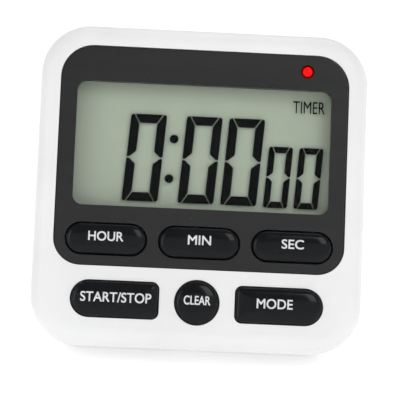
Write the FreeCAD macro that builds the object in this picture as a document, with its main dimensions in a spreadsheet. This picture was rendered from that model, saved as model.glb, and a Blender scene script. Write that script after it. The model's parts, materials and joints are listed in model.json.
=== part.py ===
"""Kitchen timer: a digital countdown timer in a two-part plastic case, with a liquid crystal display, six push
buttons, an alarm lamp, a buzzer, two AAA cells, two magnets and a folding stand.

Every piece is modelled in the case frame: the timer lies on its back, X to the right, Y up the face, Z out
through the face, with z = 0 on the rear face and x = y = 0 at the middle of the case. At the end all pieces
get one Placement, which stands the timer on its open stand, leaning back, with the origin on the table under
the middle of the whole object, +Z up and the face towards -Y.
"""

import FreeCAD, Part
import Sketcher

import math
import os
import re

Vector = FreeCAD.Vector
X_AXIS, Y_AXIS, Z_AXIS = Vector(1, 0, 0), Vector(0, 1, 0), Vector(0, 0, 1)

doc = FreeCAD.newDocument("KitchenTimer")

# --------------------------------------------------------------------------------------------------------------
# Driving dimensions, in millimetres and degrees
# --------------------------------------------------------------------------------------------------------------

DIMENSIONS = {
    "case": {
        "case_width": 80.0,
        "case_height": 78.1,
        "case_depth": 20.5,
        "case_corner": 12.0,
        "wall": 2.0,
        "parting": 12.0,
        "front_round": 4.2,
        "rear_round": 3.0,
        "parting_chamfer": 0.2,
    },
    "face panel": {
        "panel_width": 70.1,
        "panel_height": 53.5,
        "panel_up": 6.85,
        "panel_top_corner": 7.85,
        "panel_low_corner": 6.5,
        "panel_gap": 0.1,
        "panel_sink": 0.2,
        "panel_skin": 1.6,
        "panel_rim": 1.5,
        "panel_deep": 3.1,
        "panel_round": 0.3,
        "flange_high": 1.3,
        "flange_side": 1.75,
        "flange_long": 36.0,
        "flange_wide": 40.0,
        "window_width": 62.0,
        "window_height": 30.35,
        "window_up": 9.82,
        "window_corner": 2.4,
        "lamp_right": 24.8,
        "lamp_up": 29.55,
        "lamp_hole": 3.3,
        "lamp_proud": 0.7,
        "lamp_radius": 1.5,
        "lamp_foot_radius": 1.9,
        "lamp_foot_low": 15.2,
        "lamp_foot_top": 16.2,
        "lead_side": 1.27,
        "lead_radius": 0.25,
        "lead_hole": 0.35,
        "lead_stub": 0.7,
    },
    "buttons": {
        "upper_keys_up": -13.5,
        "upper_keys_pitch": 22.45,
        "upper_hole_length": 19.9,
        "upper_hole_height": 8.0,
        "lower_keys_up": -27.9,
        "lower_keys_pitch": 19.77,
        "lower_hole_length": 21.4,
        "lower_hole_height": 9.1,
        "lower_hole_corner": 1.8,
        "clear_hole": 11.0,
        "key_gap": 0.3,
        "key_lip": 0.9,
        "key_lip_thick": 1.0,
        "key_proud": 1.3,
        "key_round": 1.5,
        "key_skin": 1.3,
        "key_wall": 1.2,
        "plunger_radius": 2.0,
        "key_travel": 1.0,
        "key_spare": 0.2,
        "pill_gap": 0.1,
        "dome_base_radius": 4.0,
        "dome_neck_radius": 2.4,
        "dome_skin": 0.8,
        "dome_wall": 0.65,
        "mat_web": 0.7,
        "mat_half_width": 27.8,
        "mat_edge": 0.6,
        "mat_top_edge": 0.05,
        "pill_radius": 1.5,
        "pill_thick": 0.3,
    },
    "display": {
        "lens_thick": 1.0,
        "tape_thick": 0.12,
        "lens_margin": 1.2,
        "tape_margin": 0.3,
        "glass_half_width": 32.3,
        "glass_top": 26.2,
        "glass_low": -8.2,
        "ledge_up": -6.0,
        "glass_thick": 0.7,
        "glass_front": 17.3,
        "polariser_thick": 0.2,
        "reflector_thick": 0.25,
        "film_half_width": 31.8,
        "film_low": -5.7,
        "film_top": 25.9,
        "zebra_low": -7.9,
        "zebra_top": -6.5,
        "zebra_half_length": 28.5,
        "holder_half_width": 33.3,
        "holder_low": -9.3,
        "holder_top": 27.4,
        "holder_front": 16.5,
        "holder_gap": 0.1,
        "holder_ledge": 0.5,
        "film_gap": 0.05,
    },
    "circuit board": {
        "board_front": 13.9,
        "board_thick": 1.0,
        "board_half_width": 37.0,
        "board_top": 35.4,
        "board_low": -36.9,
        "post_side": 35.2,
        "post_high": 24.0,
        "post_mid": -6.0,
        "post_low": -35.2,
        "post_low_side": 14.0,
        "post_radius": 1.3,
        "board_screw_radius": 0.6,
        "board_screw_long": 2.6,
        "board_screw_head": 1.1,
        "board_screw_cap": 0.6,
        "board_screw_hole": 0.7,
        "board_screw_gap": 0.3,
        "notch_gap": 0.3,
        "blob_radius": 5.5,
        "blob_rise": 1.7,
        "can_radius": 1.0,
        "can_long": 6.0,
        "chip_half_long": 0.9,
        "chip_half_wide": 0.5,
        "resistor_high": 0.5,
        "capacitor_high": 0.9,
        "drum_radius": 3.0,
        "drum_core": 2.3,
        "drum_flange": 0.9,
        "drum_high": 5.4,
        "tall_radius": 2.0,
        "tall_high": 5.4,
        "transistor_radius": 2.2,
        "transistor_high": 4.5,
        "transistor_flat": 1.1,
    },
    "case screws": {
        "screw_side": 33.0,
        "screw_up": 32.0,
        "screw_boss": 3.6,
        "screw_radius": 1.1,
        "screw_hole": 1.3,
        "screw_head_radius": 2.1,
        "screw_head_thick": 1.6,
        "screw_well": 2.35,
        "screw_seat": 6.2,
        "screw_tip": 15.0,
        "screw_tip_gap": 0.6,
        "screw_cross_half": 1.3,
        "screw_cross_thin": 0.25,
    },
    "battery bay": {
        "bay_half_width": 11.6,
        "bay_low": -28.8,
        "bay_top": 20.8,
        "bay_roof": 11.9,
        "bay_shell": 12.6,
        "bay_wall": 2.3,
        "cell_radius": 5.2,
        "cell_length": 44.5,
        "cell_nub": 1.1,
        "cell_edge": 0.5,
        "cell_nub_radius": 1.8,
        "cell_side": 5.6,
        "cell_centre": 6.65,
        "contact_thick": 0.4,
        "contact_half_width": 4.6,
        "contact_low": 2.0,
        "contact_high": 11.4,
        "tab_half_width": 1.5,
        "spring_radius": 3.3,
        "spring_wire": 0.4,
        "door_half_width": 12.5,
        "door_top": 21.5,
        "door_thick": 1.3,
        "door_sink": 0.1,
        "door_gap": 0.15,
        "door_hinge_up": -29.0,
        "door_knuckle": 0.75,
        "door_pin_radius": 0.5,
        "door_pin_long": 0.8,
        "door_pin_gap": 0.05,
        "door_rib_high": 0.5,
        "thumb_radius": 9.0,
        "thumb_depth": 0.8,
        "thumb_long": 7.0,
    },
    "stand": {
        "lean": 20.0,
        "stand_angle": 32.0,
        "stand_hinge_up": 8.0,
        "stand_hinge_in": 1.7,
        "stand_half_width": 20.6,
        "stand_arm": 5.7,
        "stand_bar": 5.5,
        "stand_thick": 2.8,
        "stand_heel": 3.0,
        "stand_corner": 4.5,
        "stand_gap": 0.2,
        "stand_pin_radius": 1.15,
        "stand_pin_long": 1.3,
        "stand_pin_gap": 0.08,
        "stand_foot_up": 2.16,
        "stand_tip_corner": 0.6,
        "stand_edge": 0.5,
        "heel_gap": 0.1,
        "heel_stop_gap": 0.02,
        "notch_radius": 9.0,
        "notch_depth": 2.5,
        "notch_long": 2.6,
    },
    "rear details": {
        "magnet_side": 29.5,
        "magnet_up": -12.0,
        "magnet_radius": 6.0,
        "magnet_thick": 2.5,
        "magnet_proud": 0.15,
        "buzzer_right": 26.5,
        "buzzer_up": 21.5,
        "buzzer_radius": 8.0,
        "buzzer_thick": 0.2,
        "buzzer_seat": 3.0,
        "ceramic_radius": 5.6,
        "wire_radius": 0.4,
        "wire_bend": 1.2,
        "wire_rise": 2.5,
        "wire_run": 1.7,
        "wire_shift": 5.0,
        "sound_hole": 0.7,
        "sound_ring": 3.2,
        "hook_up": 27.5,
        "hook_radius": 3.5,
        "hook_slot": 1.8,
        "hook_rise": 5.5,
        "hook_deep": 2.2,
        "switch_up": 8.0,
        "switch_travel": 2.0,
        "switch_knob": 2.4,
        "switch_shell": 4.5,
        "switch_deep": 4.0,
        "switch_thick": 2.9,
        "knob_low": 14.7,
        "knob_high": 16.1,
        "knob_gap": 0.1,
        "knob_sink": 0.3,
        "knob_groove": 0.3,
        "knob_groove_pitch": 0.6,
        "window_gap": 0.2,
    },
    "inner ribs": {
        "recess_wall": 1.5,
        "recess_roof": 1.3,
        "heel_block": 9.0,
        "heel_block_shift": 0.5,
        "magnet_ring": 1.2,
        "magnet_roof": 0.9,
        "magnet_bevel": 0.3,
        "press_gap": 0.05,
        "buzzer_ring": 0.8,
        "buzzer_ledge": 0.6,
        "hook_pocket_half": 4.2,
        "hook_pocket_high": 11.55,
        "hook_pocket_down": 0.7,
        "hook_wall": 0.95,
        "tab_gap": 0.1,
    },
}


def fill_sheet():
    """Puts every driving dimension into the spreadsheet, one named cell each."""
    sheet = doc.addObject("Spreadsheet::Sheet", "Dimensions")
    row = 1
    for group, cells in DIMENSIONS.items():
        sheet.set(f"A{row}", group)
        row += 1
        for alias, amount in cells.items():
            sheet.set(f"A{row}", alias)
            sheet.set(f"B{row}", str(amount))
            sheet.setAlias(f"B{row}", alias)
            row += 1
    doc.recompute()
    return sheet


sheet = fill_sheet()


ALIAS = re.compile(r"\b[a-z]+(?:_[a-z]+)*\b(?!\()")


def rule(text):
    """A formula in the sheet's aliases, as FreeCAD writes it."""
    return ALIAS.sub(lambda found: "Dimensions." + found.group(), str(text))


def number(text):
    """What a formula in the sheet's aliases comes to."""
    return float(sheet.evalExpression(rule(text)))


# --------------------------------------------------------------------------------------------------------------
# Sketches: every outline is centred on its sketch, and the sketch is placed by formulas
# --------------------------------------------------------------------------------------------------------------

START, END, CENTRE, ORIGIN = 1, 2, 3, -1


def new_body(label):
    body = doc.addObject("PartDesign::Body", label)
    body.Label = label
    return body


def place_sketch(body, x, y, z, plane="XY_Plane", turn="0"):
    """A sketch on one of the body's own planes, moved to (x, y) in that plane and to z along its normal."""
    sketch = body.newObject("Sketcher::SketchObject", "Sketch")
    support = [feature for feature in body.Origin.OriginFeatures if feature.Role == plane][0]
    sketch.AttachmentSupport = [(support, "")]
    sketch.MapMode = "FlatFace"
    sketch.AttachmentOffset = FreeCAD.Placement(Vector(0, 0, 0), FreeCAD.Rotation(Z_AXIS, 1.0))
    for path, formula in (("Base.x", x), ("Base.y", y), ("Base.z", z), ("Rotation.Angle", turn)):
        sketch.setExpression("AttachmentOffset." + path, rule(formula))
    return sketch


def bind(sketch, kind, *where, to):
    """Adds a dimension to the sketch and ties it to a formula."""
    index = sketch.addConstraint(Sketcher.Constraint(kind, *where, number(to)))
    sketch.setExpression(f"Constraints[{index}]", rule(to))


def join_tangent(sketch, count):
    """Joins each piece of a closed outline to the next one, end to start, with no corner."""
    for index in range(count):
        following = (index + 1) % count
        sketch.addConstraint(Sketcher.Constraint("Tangent", index, END, following, START))


def line(x_from, y_from, x_to, y_to):
    return Part.LineSegment(Vector(x_from, y_from, 0), Vector(x_to, y_to, 0))


def arc(x, y, radius, start, end):
    circle = Part.Circle(Vector(x, y, 0), Z_AXIS, radius)
    return Part.ArcOfCircle(circle, math.radians(start), math.radians(end))


def rectangle(sketch, width, height):
    w, h = number(width) / 2, number(height) / 2
    corners = [(-w, -h), (w, -h), (w, h), (-w, h)]
    for index in range(4):
        sketch.addGeometry(line(*corners[index], *corners[(index + 1) % 4]))
    for index in range(4):
        sketch.addConstraint(Sketcher.Constraint("Coincident", index, END, (index + 1) % 4, START))
    for index, way in enumerate(("Horizontal", "Vertical", "Horizontal", "Vertical")):
        sketch.addConstraint(Sketcher.Constraint(way, index))
    sketch.addConstraint(Sketcher.Constraint("Symmetric", 0, START, 2, START, ORIGIN, START))
    bind(sketch, "DistanceX", 0, START, 0, END, to=width)
    bind(sketch, "DistanceY", 1, START, 1, END, to=height)


def rounded(sketch, width, height, low_corner, top_corner=None):
    """A rectangle with rounded corners; the two upper corners may have a radius of their own."""
    top_corner = top_corner or low_corner
    w, h = number(width) / 2, number(height) / 2
    low, top = number(low_corner), number(top_corner)
    sketch.addGeometry(line(-w + low, -h, w - low, -h))
    sketch.addGeometry(arc(w - low, -h + low, low, -90, 0))
    sketch.addGeometry(line(w, -h + low, w, h - top))
    sketch.addGeometry(arc(w - top, h - top, top, 0, 90))
    sketch.addGeometry(line(w - top, h, -w + top, h))
    sketch.addGeometry(arc(-w + top, h - top, top, 90, 180))
    sketch.addGeometry(line(-w, h - top, -w, -h + low))
    sketch.addGeometry(arc(-w + low, -h + low, low, 180, 270))
    join_tangent(sketch, 8)
    for index, way in ((0, "Horizontal"), (2, "Vertical"), (4, "Horizontal"), (6, "Vertical")):
        sketch.addConstraint(Sketcher.Constraint(way, index))
    for index, radius in ((1, low_corner), (3, top_corner), (5, top_corner), (7, low_corner)):
        bind(sketch, "Radius", index, to=radius)
    half_width, half_height = f"({width}) / 2", f"({height}) / 2"
    bind(sketch, "DistanceX", ORIGIN, START, 2, START, to=half_width)
    bind(sketch, "DistanceX", 6, START, ORIGIN, START, to=half_width)
    bind(sketch, "DistanceY", 0, START, ORIGIN, START, to=half_height)
    bind(sketch, "DistanceY", ORIGIN, START, 4, START, to=half_height)


def stadium(sketch, length, height):
    """Two half circles joined by straight sides, lying along the sketch's X."""
    half, radius = number(f"(({length}) - ({height})) / 2"), number(f"({height}) / 2")
    sketch.addGeometry(line(-half, -radius, half, -radius))
    sketch.addGeometry(arc(half, 0, radius, -90, 90))
    sketch.addGeometry(line(half, radius, -half, radius))
    sketch.addGeometry(arc(-half, 0, radius, 90, 270))
    join_tangent(sketch, 4)
    sketch.addConstraint(Sketcher.Constraint("Horizontal", 0))
    sketch.addConstraint(Sketcher.Constraint("Horizontal", 2))
    sketch.addConstraint(Sketcher.Constraint("PointOnObject", 1, CENTRE, ORIGIN))
    bind(sketch, "Radius", 1, to=f"({height}) / 2")
    bind(sketch, "DistanceX", ORIGIN, START, 1, CENTRE, to=f"(({length}) - ({height})) / 2")
    bind(sketch, "DistanceX", 3, CENTRE, ORIGIN, START, to=f"(({length}) - ({height})) / 2")


def bullet(sketch, length, height, corner):
    """A bar whose +X end is a half circle and whose -X end has two small rounded corners."""
    half, radius, small = number(f"({length}) / 2"), number(f"({height}) / 2"), number(corner)
    sketch.addGeometry(line(-half + small, -radius, half - radius, -radius))
    sketch.addGeometry(arc(half - radius, 0, radius, -90, 90))
    sketch.addGeometry(line(half - radius, radius, -half + small, radius))
    sketch.addGeometry(arc(-half + small, radius - small, small, 90, 180))
    sketch.addGeometry(line(-half, radius - small, -half, -radius + small))
    sketch.addGeometry(arc(-half + small, -radius + small, small, 180, 270))
    join_tangent(sketch, 6)
    for index, way in ((0, "Horizontal"), (2, "Horizontal"), (4, "Vertical")):
        sketch.addConstraint(Sketcher.Constraint(way, index))
    sketch.addConstraint(Sketcher.Constraint("PointOnObject", 1, CENTRE, ORIGIN))
    bind(sketch, "Radius", 1, to=f"({height}) / 2")
    bind(sketch, "Radius", 3, to=corner)
    bind(sketch, "Radius", 5, to=corner)
    bind(sketch, "DistanceX", ORIGIN, START, 1, CENTRE, to=f"(({length}) - ({height})) / 2")
    bind(sketch, "DistanceX", 4, START, ORIGIN, START, to=f"({length}) / 2")


def circle(sketch, diameter):
    sketch.addGeometry(Part.Circle(Vector(0, 0, 0), Z_AXIS, number(diameter) / 2))
    sketch.addConstraint(Sketcher.Constraint("Coincident", 0, CENTRE, ORIGIN, START))
    bind(sketch, "Diameter", 0, to=diameter)


# --------------------------------------------------------------------------------------------------------------
# Solid features
# --------------------------------------------------------------------------------------------------------------


def extrude(body, kind, outline, sizes, low, high, x="0", y="0", plane="XY_Plane", turn="0"):
    """Pads or pockets an outline between two heights along its plane's normal."""
    sketch = place_sketch(body, x, y, low, plane, turn)
    outline(sketch, *sizes)
    feature = body.newObject("PartDesign::" + kind, kind)
    feature.Profile = sketch
    feature.Type = "Length"
    feature.setExpression("Length", rule(f"({high}) - ({low})"))
    feature.Reversed = kind == "Pocket"
    sketch.Visibility = False
    return feature


def pad(body, outline, sizes, low, high, **where):
    return extrude(body, "Pad", outline, sizes, low, high, **where)


def pocket(body, outline, sizes, low, high, **where):
    return extrude(body, "Pocket", outline, sizes, low, high, **where)


def dress(body, kind, size, chosen):
    """Rounds or chamfers the edges of the body's last feature that the test picks."""
    doc.recompute()
    base = body.Tip
    names = [f"Edge{n + 1}" for n, edge in enumerate(base.Shape.Edges) if chosen(edge)]
    feature = body.newObject("PartDesign::" + kind, kind)
    feature.Base = (base, names)
    feature.setExpression("Radius" if kind == "Fillet" else "Size", rule(size))
    return feature


def level_edge(height):
    """Picks the edges that lie flat at a height."""
    z = number(height)
    return lambda edge: abs(edge.BoundBox.ZMin - z) < 1e-4 and abs(edge.BoundBox.ZMax - z) < 1e-4


def primitive(kind, label, sizes, at=("0", "0", "0"), turn=None):
    """A Part primitive whose sizes and place are formulas; turn is (axis, angle)."""
    solid = doc.addObject("Part::" + kind, label)
    for name, formula in sizes.items():
        solid.setExpression(name, rule(formula))
    if turn:
        solid.Placement = FreeCAD.Placement(Vector(0, 0, 0), FreeCAD.Rotation(*turn))
    for letter, formula in zip("xyz", at):
        solid.setExpression(f"Placement.Base.{letter}", rule(formula))
    return solid


def box(label, x_low, x_high, y_low, y_high, z_low, z_high):
    """A box between six planes."""
    spans = zip(("Length", "Width", "Height"), (x_high, y_high, z_high), (x_low, y_low, z_low))
    sizes = {name: f"({high}) - ({low})" for name, high, low in spans}
    return primitive("Box", label, sizes, (x_low, y_low, z_low))


def post(label, x, y, low, high, radius, turn=None):
    """A cylinder along Z."""
    return primitive("Cylinder", label, {"Radius": radius, "Height": f"({high}) - ({low})"}, (x, y, low), turn)


def fuse(label, *solids):
    joined = doc.addObject("Part::MultiFuse", label)
    joined.Shapes = list(solids)
    return joined


def cut(label, base, tool):
    rest = doc.addObject("Part::Cut", label)
    rest.Base, rest.Tool = base, tool
    return rest


def group(label, *solids):
    """Several separate solids under one name, such as a set of screws."""
    together = doc.addObject("Part::Compound", label)
    together.Links = list(solids)
    return together


def shaped(label, shape):
    """A piece whose shape Part's own functions make."""
    feature = doc.addObject("Part::Feature", label)
    feature.Shape = shape
    return feature


pieces = []


def piece(solid):
    """Keeps a finished piece for the list that gets written out."""
    pieces.append(solid)
    return solid


# --------------------------------------------------------------------------------------------------------------
# Levels that several pieces share
# --------------------------------------------------------------------------------------------------------------

FACE = "case_depth"
WALL_INSIDE = "case_depth - wall"
PANEL_FACE = "case_depth - panel_sink"
PANEL_INSIDE = "case_depth - panel_sink - panel_skin"
PANEL_BACK = "case_depth - panel_sink - panel_deep"
BOARD_BACK = "board_front - board_thick"
BOARD_SCREW_TIP = "board_front + board_screw_long"
GLASS_JOINT = "glass_front - glass_thick"
GLASS_BACK = "glass_front - 2 * glass_thick"
DOOR_SEAT = "door_sink + door_thick"
BOSS_TOP = "case_depth - wall - key_lip_thick - key_travel - key_spare"
DOME_CEILING = "(board_front + key_travel + pill_gap + pill_thick)"
DOME_TOP = DOME_CEILING + " + dome_skin"
RECESS_FLOOR = "stand_hinge_in + stand_thick / 2 + stand_gap"
STAND_TOP = "stand_hinge_up + stand_heel"
STAND_END = "(-(case_height / 2) + stand_foot_up)"
HEEL_REACH = "(sqrt(stand_heel * stand_heel + stand_thick * stand_thick / 4) + heel_gap)"
DOOR_AXIS = "door_sink + door_knuckle"
HOOK_MIDDLE = "hook_up + hook_rise / 2 - hook_pocket_down"

UPPER_KEYS = {"hour_button": "-upper_keys_pitch", "minute_button": "0", "second_button": "upper_keys_pitch"}
LOWER_KEYS = {"start_stop_button": "-lower_keys_pitch", "clear_button": "0", "mode_button": "lower_keys_pitch"}
KEY_CENTRES = [(x, "upper_keys_up") for x in UPPER_KEYS.values()]
KEY_CENTRES += [(x, "lower_keys_up") for x in LOWER_KEYS.values()]
CASE_SCREWS = [(side + "screw_side", up + "screw_up") for side in ("-", "") for up in ("-", "")]
PANEL_POSTS = [(side + "post_side", up) for side in ("-", "") for up in ("post_high", "post_mid")]
CASE_POSTS = [(side + "post_low_side", "post_low") for side in ("-", "")]


def lower_key_outline(name, spare):
    """The outline of a key of the lower row, its sizes and its turn; spare is added all round."""
    if name == "clear_button":
        return circle, (f"clear_hole + 2 * ({spare})",), "0"
    sizes = (f"lower_hole_length + 2 * ({spare})", f"lower_hole_height + 2 * ({spare})",
             f"lower_hole_corner + ({spare})")
    return bullet, sizes, "180" if name == "start_stop_button" else "0"


# --------------------------------------------------------------------------------------------------------------
# Case
# --------------------------------------------------------------------------------------------------------------


def make_front_case():
    body = new_body("front_case")
    pad(body, rounded, ("case_width", "case_height", "case_corner"), "parting", FACE)
    dress(body, "Fillet", "front_round", level_edge(FACE))
    dress(body, "Chamfer", "parting_chamfer", level_edge("parting"))
    inside = ("case_width - 2 * wall", "case_height - 2 * wall", "case_corner - wall")
    pocket(body, rounded, inside, "parting", WALL_INSIDE)
    opening = ("panel_width + 2 * panel_gap", "panel_height + 2 * panel_gap",
               "panel_low_corner + panel_gap", "panel_top_corner + panel_gap")
    pocket(body, rounded, opening, WALL_INSIDE, FACE, y="panel_up")
    for name, x in LOWER_KEYS.items():
        outline, sizes, turn = lower_key_outline(name, "0")
        pocket(body, outline, sizes, WALL_INSIDE, FACE, x=x, y="lower_keys_up", turn=turn)
    for x, y in CASE_SCREWS:
        pad(body, circle, ("2 * screw_boss",), "parting", BOSS_TOP, x=x, y=y)
        pocket(body, circle, ("2 * screw_radius",), "parting", "screw_tip", x=x, y=y)
    for x, y in CASE_POSTS:
        pad(body, circle, ("2 * post_radius",), "board_front", WALL_INSIDE, x=x, y=y)
        pocket(body, circle, ("2 * board_screw_radius",), "board_front", BOARD_SCREW_TIP, x=x, y=y)
    half = "(switch_knob / 2 + switch_travel / 2 + knob_gap + window_gap)"
    slot = box("switch_window", "case_width / 2 - 2 * wall", "case_width / 2 + wall", f"switch_up - {half}",
               f"switch_up + {half}", "knob_low - window_gap", "knob_high + window_gap")
    return piece(cut("front_case_shell", body, slot))


def make_rear_case():
    body = new_body("rear_case")
    pad(body, rounded, ("case_width", "case_height", "case_corner"), "0", "parting")
    dress(body, "Fillet", "rear_round", level_edge("0"))
    dress(body, "Chamfer", "parting_chamfer", level_edge("parting"))
    inside = ("case_width - 2 * wall", "case_height - 2 * wall", "case_corner - wall")
    pocket(body, rounded, inside, "wall", "parting")
    add_rear_ribs(body)
    cut_rear_features(body)
    tools = fuse("rear_case_cutters", *hinge_cutters(), *door_cutters(), *sound_cutters(), finger_notch())
    return piece(cut("rear_case_shell", body, tools))


def add_rear_ribs(body):
    """Everything that stands up inside the rear shell: bosses, the bay's walls and the recesses' floors."""
    for x, y in CASE_SCREWS:
        pad(body, circle, ("2 * screw_boss",), "wall / 2", "parting", x=x, y=y)
    bay = ("2 * (bay_half_width + bay_wall)", "bay_top - bay_low + 2 * bay_wall")
    pad(body, rectangle, bay, "wall / 2", "bay_shell", y="(bay_top + bay_low) / 2")
    low, high = "-(case_height / 2) + wall / 2", f"{STAND_TOP} + stand_gap + recess_wall"
    tray = ("2 * (stand_half_width + stand_gap + recess_wall)", f"({high}) - ({low})")
    pad(body, rectangle, tray, "wall / 2", f"{RECESS_FLOOR} + recess_roof", y=f"(({high}) + ({low})) / 2")
    heel_block = ("stand_arm + 2 * (stand_gap + recess_wall)", "heel_block")
    for side in ("-", ""):
        pad(body, rectangle, heel_block, "wall / 2", f"stand_hinge_in + {HEEL_REACH} + recess_roof",
            x=f"{side}(stand_half_width - stand_arm / 2)", y="stand_hinge_up + heel_block_shift")
        pad(body, circle, ("2 * (magnet_radius + magnet_ring)",), "wall / 2", "magnet_thick + magnet_roof",
            x=side + "magnet_side", y="magnet_up")
    hook = ("2 * (hook_pocket_half + hook_wall)", "hook_pocket_high + 2 * hook_wall")
    pad(body, rectangle, hook, "wall / 2", "wall + hook_deep + hook_wall", y=HOOK_MIDDLE)
    pad(body, circle, ("2 * (buzzer_radius + buzzer_ring)",), "wall / 2", "buzzer_seat + buzzer_ledge",
        x="buzzer_right", y="buzzer_up")


def cut_rear_features(body):
    """Everything cut into the rear shell along Z."""
    for x, y in CASE_SCREWS:
        pocket(body, circle, ("2 * screw_well",), "0", "screw_seat", x=x, y=y)
        pocket(body, circle, ("2 * screw_hole",), "screw_seat", "parting", x=x, y=y)
    bay = ("2 * bay_half_width", "bay_top - bay_low")
    pocket(body, rectangle, bay, "0", "bay_roof", y="(bay_top + bay_low) / 2")
    for side in ("-", ""):
        pocket(body, rectangle, ("2 * (tab_half_width + tab_gap)", "contact_thick + tab_gap"), "bay_roof - 1",
               "bay_shell", x=side + "cell_side", y="bay_top - (contact_thick + tab_gap) / 2")
    door_low = "(door_hinge_up - door_knuckle)"
    seat = ("2 * (door_half_width + door_gap)", f"door_top - {door_low} + 2 * door_gap")
    pocket(body, rectangle, seat, "0", DOOR_SEAT, y=f"(door_top + {door_low}) / 2")
    pocket(body, circle, ("2 * hook_radius",), "0", "wall", y="hook_up")
    pocket(body, rectangle, ("2 * hook_slot", "hook_rise"), "0", "wall", y="hook_up + hook_rise / 2")
    pocket(body, circle, ("2 * hook_slot",), "0", "wall", y="hook_up + hook_rise")
    pocket(body, rectangle, ("2 * hook_pocket_half", "hook_pocket_high"), "wall", "wall + hook_deep",
           y=HOOK_MIDDLE)
    for side in ("-", ""):
        pocket(body, circle, ("2 * (magnet_radius + press_gap)",), "0", "magnet_thick - magnet_proud",
               x=side + "magnet_side", y="magnet_up")
    pocket(body, circle, ("2 * (buzzer_radius + press_gap)",), "buzzer_seat", "buzzer_seat + buzzer_ledge",
           x="buzzer_right", y="buzzer_up")
    pocket(body, circle, ("2 * (buzzer_radius - buzzer_ring)",), "wall", "buzzer_seat",
           x="buzzer_right", y="buzzer_up")


def hinge_cutters():
    """The U-shaped recess of the folded stand, the pin sockets, and the room for the heels as they turn in."""
    wide, reach = "(stand_half_width + stand_gap)", "(stand_half_width - stand_arm - stand_gap)"
    top, end = f"{STAND_TOP} + stand_gap", f"({STAND_END} - stand_gap)"
    recess = new_body("stand_recess")
    outline = (f"2 * {wide}", f"{top} - {end}", "stand_corner + stand_gap", "stand_tip_corner")
    pad(recess, rounded, outline, "-1", RECESS_FLOOR, y=f"({top} + {end}) / 2")
    island_low, island_top = f"({STAND_END} + stand_bar + stand_gap)", f"{top} + stand_corner"
    island = (f"2 * {reach}", f"{island_top} - {island_low}", "stand_corner / 2 - stand_gap")
    pocket(recess, rounded, island, "-1", RECESS_FLOOR, y=f"({island_top} + {island_low}) / 2")
    tools = [recess]
    for name, low, high in (("left", f"-{wide}", f"-{reach}"), ("right", reach, wide)):
        tools.append(cut(f"heel_room_{name}", heel_swing(name, low, high), heel_stop(name, low, high)))
    pin_reach = "(stand_half_width + stand_pin_long + stand_gap)"
    sizes = {"Radius": "stand_pin_radius + stand_pin_gap", "Height": f"2 * {pin_reach}"}
    sockets = primitive("Cylinder", "pin_sockets", sizes, (f"-{pin_reach}", "stand_hinge_up", "stand_hinge_in"),
                        (Y_AXIS, 90))
    middle = "(bay_half_width + bay_wall + recess_wall / 3)"
    between = box("between_arms", f"-{middle}", middle, "stand_hinge_up - stand_heel", STAND_TOP, "-1",
                  "bay_roof")
    tools.append(cut("pin_sockets_split", sockets, between))
    return tools


def heel_swing(name, low, high):
    """The round room that a heel sweeps as it turns into the case."""
    sizes = {"Radius": HEEL_REACH, "Height": f"({high}) - ({low})"}
    place = (low, "stand_hinge_up", "stand_hinge_in")
    return primitive("Cylinder", f"heel_swing_{name}", sizes, place, (Y_AXIS, 90))


def heel_stop(name, low, high):
    """The sloping stop that the heel's inner face lands on when the stand is fully open."""
    side = 20.0
    sizes = {"Length": f"({high}) - ({low}) + 2", "Width": side, "Height": side}
    block = primitive("Box", f"heel_stop_{name}", sizes)
    block.Placement = FreeCAD.Placement(Vector(0, 0, 0), FreeCAD.Rotation(X_AXIS, number("stand_angle")))
    half, angle = number("stand_thick / 2 + heel_stop_gap"), math.radians(number("stand_angle"))
    shift_y = -half * math.sin(angle) - side / 2 * math.cos(angle)
    shift_z = half * math.cos(angle) - side / 2 * math.sin(angle)
    place = (f"({low}) - 1", f"stand_hinge_up + ({shift_y:.4f})", f"stand_hinge_in + ({shift_z:.4f})")
    for letter, formula in zip("xyz", place):
        block.setExpression(f"Placement.Base.{letter}", rule(formula))
    return block


def door_cutters():
    """The round-bottomed groove that the door's lower edge turns in, with a socket at each end for its pins."""
    groove_half = "(door_half_width + door_gap)"
    socket_half = f"({groove_half} + door_pin_long)"
    tools = []
    for name, radius, half in (("door_groove", "door_knuckle + door_gap", groove_half),
                               ("door_pin_sockets", "door_pin_radius + door_pin_gap", socket_half)):
        sizes = {"Radius": radius, "Height": f"2 * {half}"}
        tools.append(primitive("Cylinder", name, sizes, (f"-{half}", "door_hinge_up", DOOR_AXIS), (Y_AXIS, 90)))
    return tools


def sound_cutters():
    """A hole in the middle and six round it, under the buzzer."""
    tools = [post("sound_hole", "buzzer_right", "buzzer_up", "-1", "2 * wall", "sound_hole")]
    for turn in range(0, 360, 60):
        x, y = f"buzzer_right + sound_ring * cos({turn})", f"buzzer_up + sound_ring * sin({turn})"
        tools.append(post(f"sound_hole_{turn}", x, y, "-1", "2 * wall", "sound_hole"))
    return tools


def finger_notch():
    """A scoop in the bottom edge that lets a finger hook the folded stand."""
    sizes = {"Radius": "notch_radius", "Height": "notch_long"}
    place = ("0", "-(case_height / 2)", "notch_depth - notch_radius")
    return primitive("Cylinder", "finger_notch", sizes, place, (X_AXIS, -90))


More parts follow.
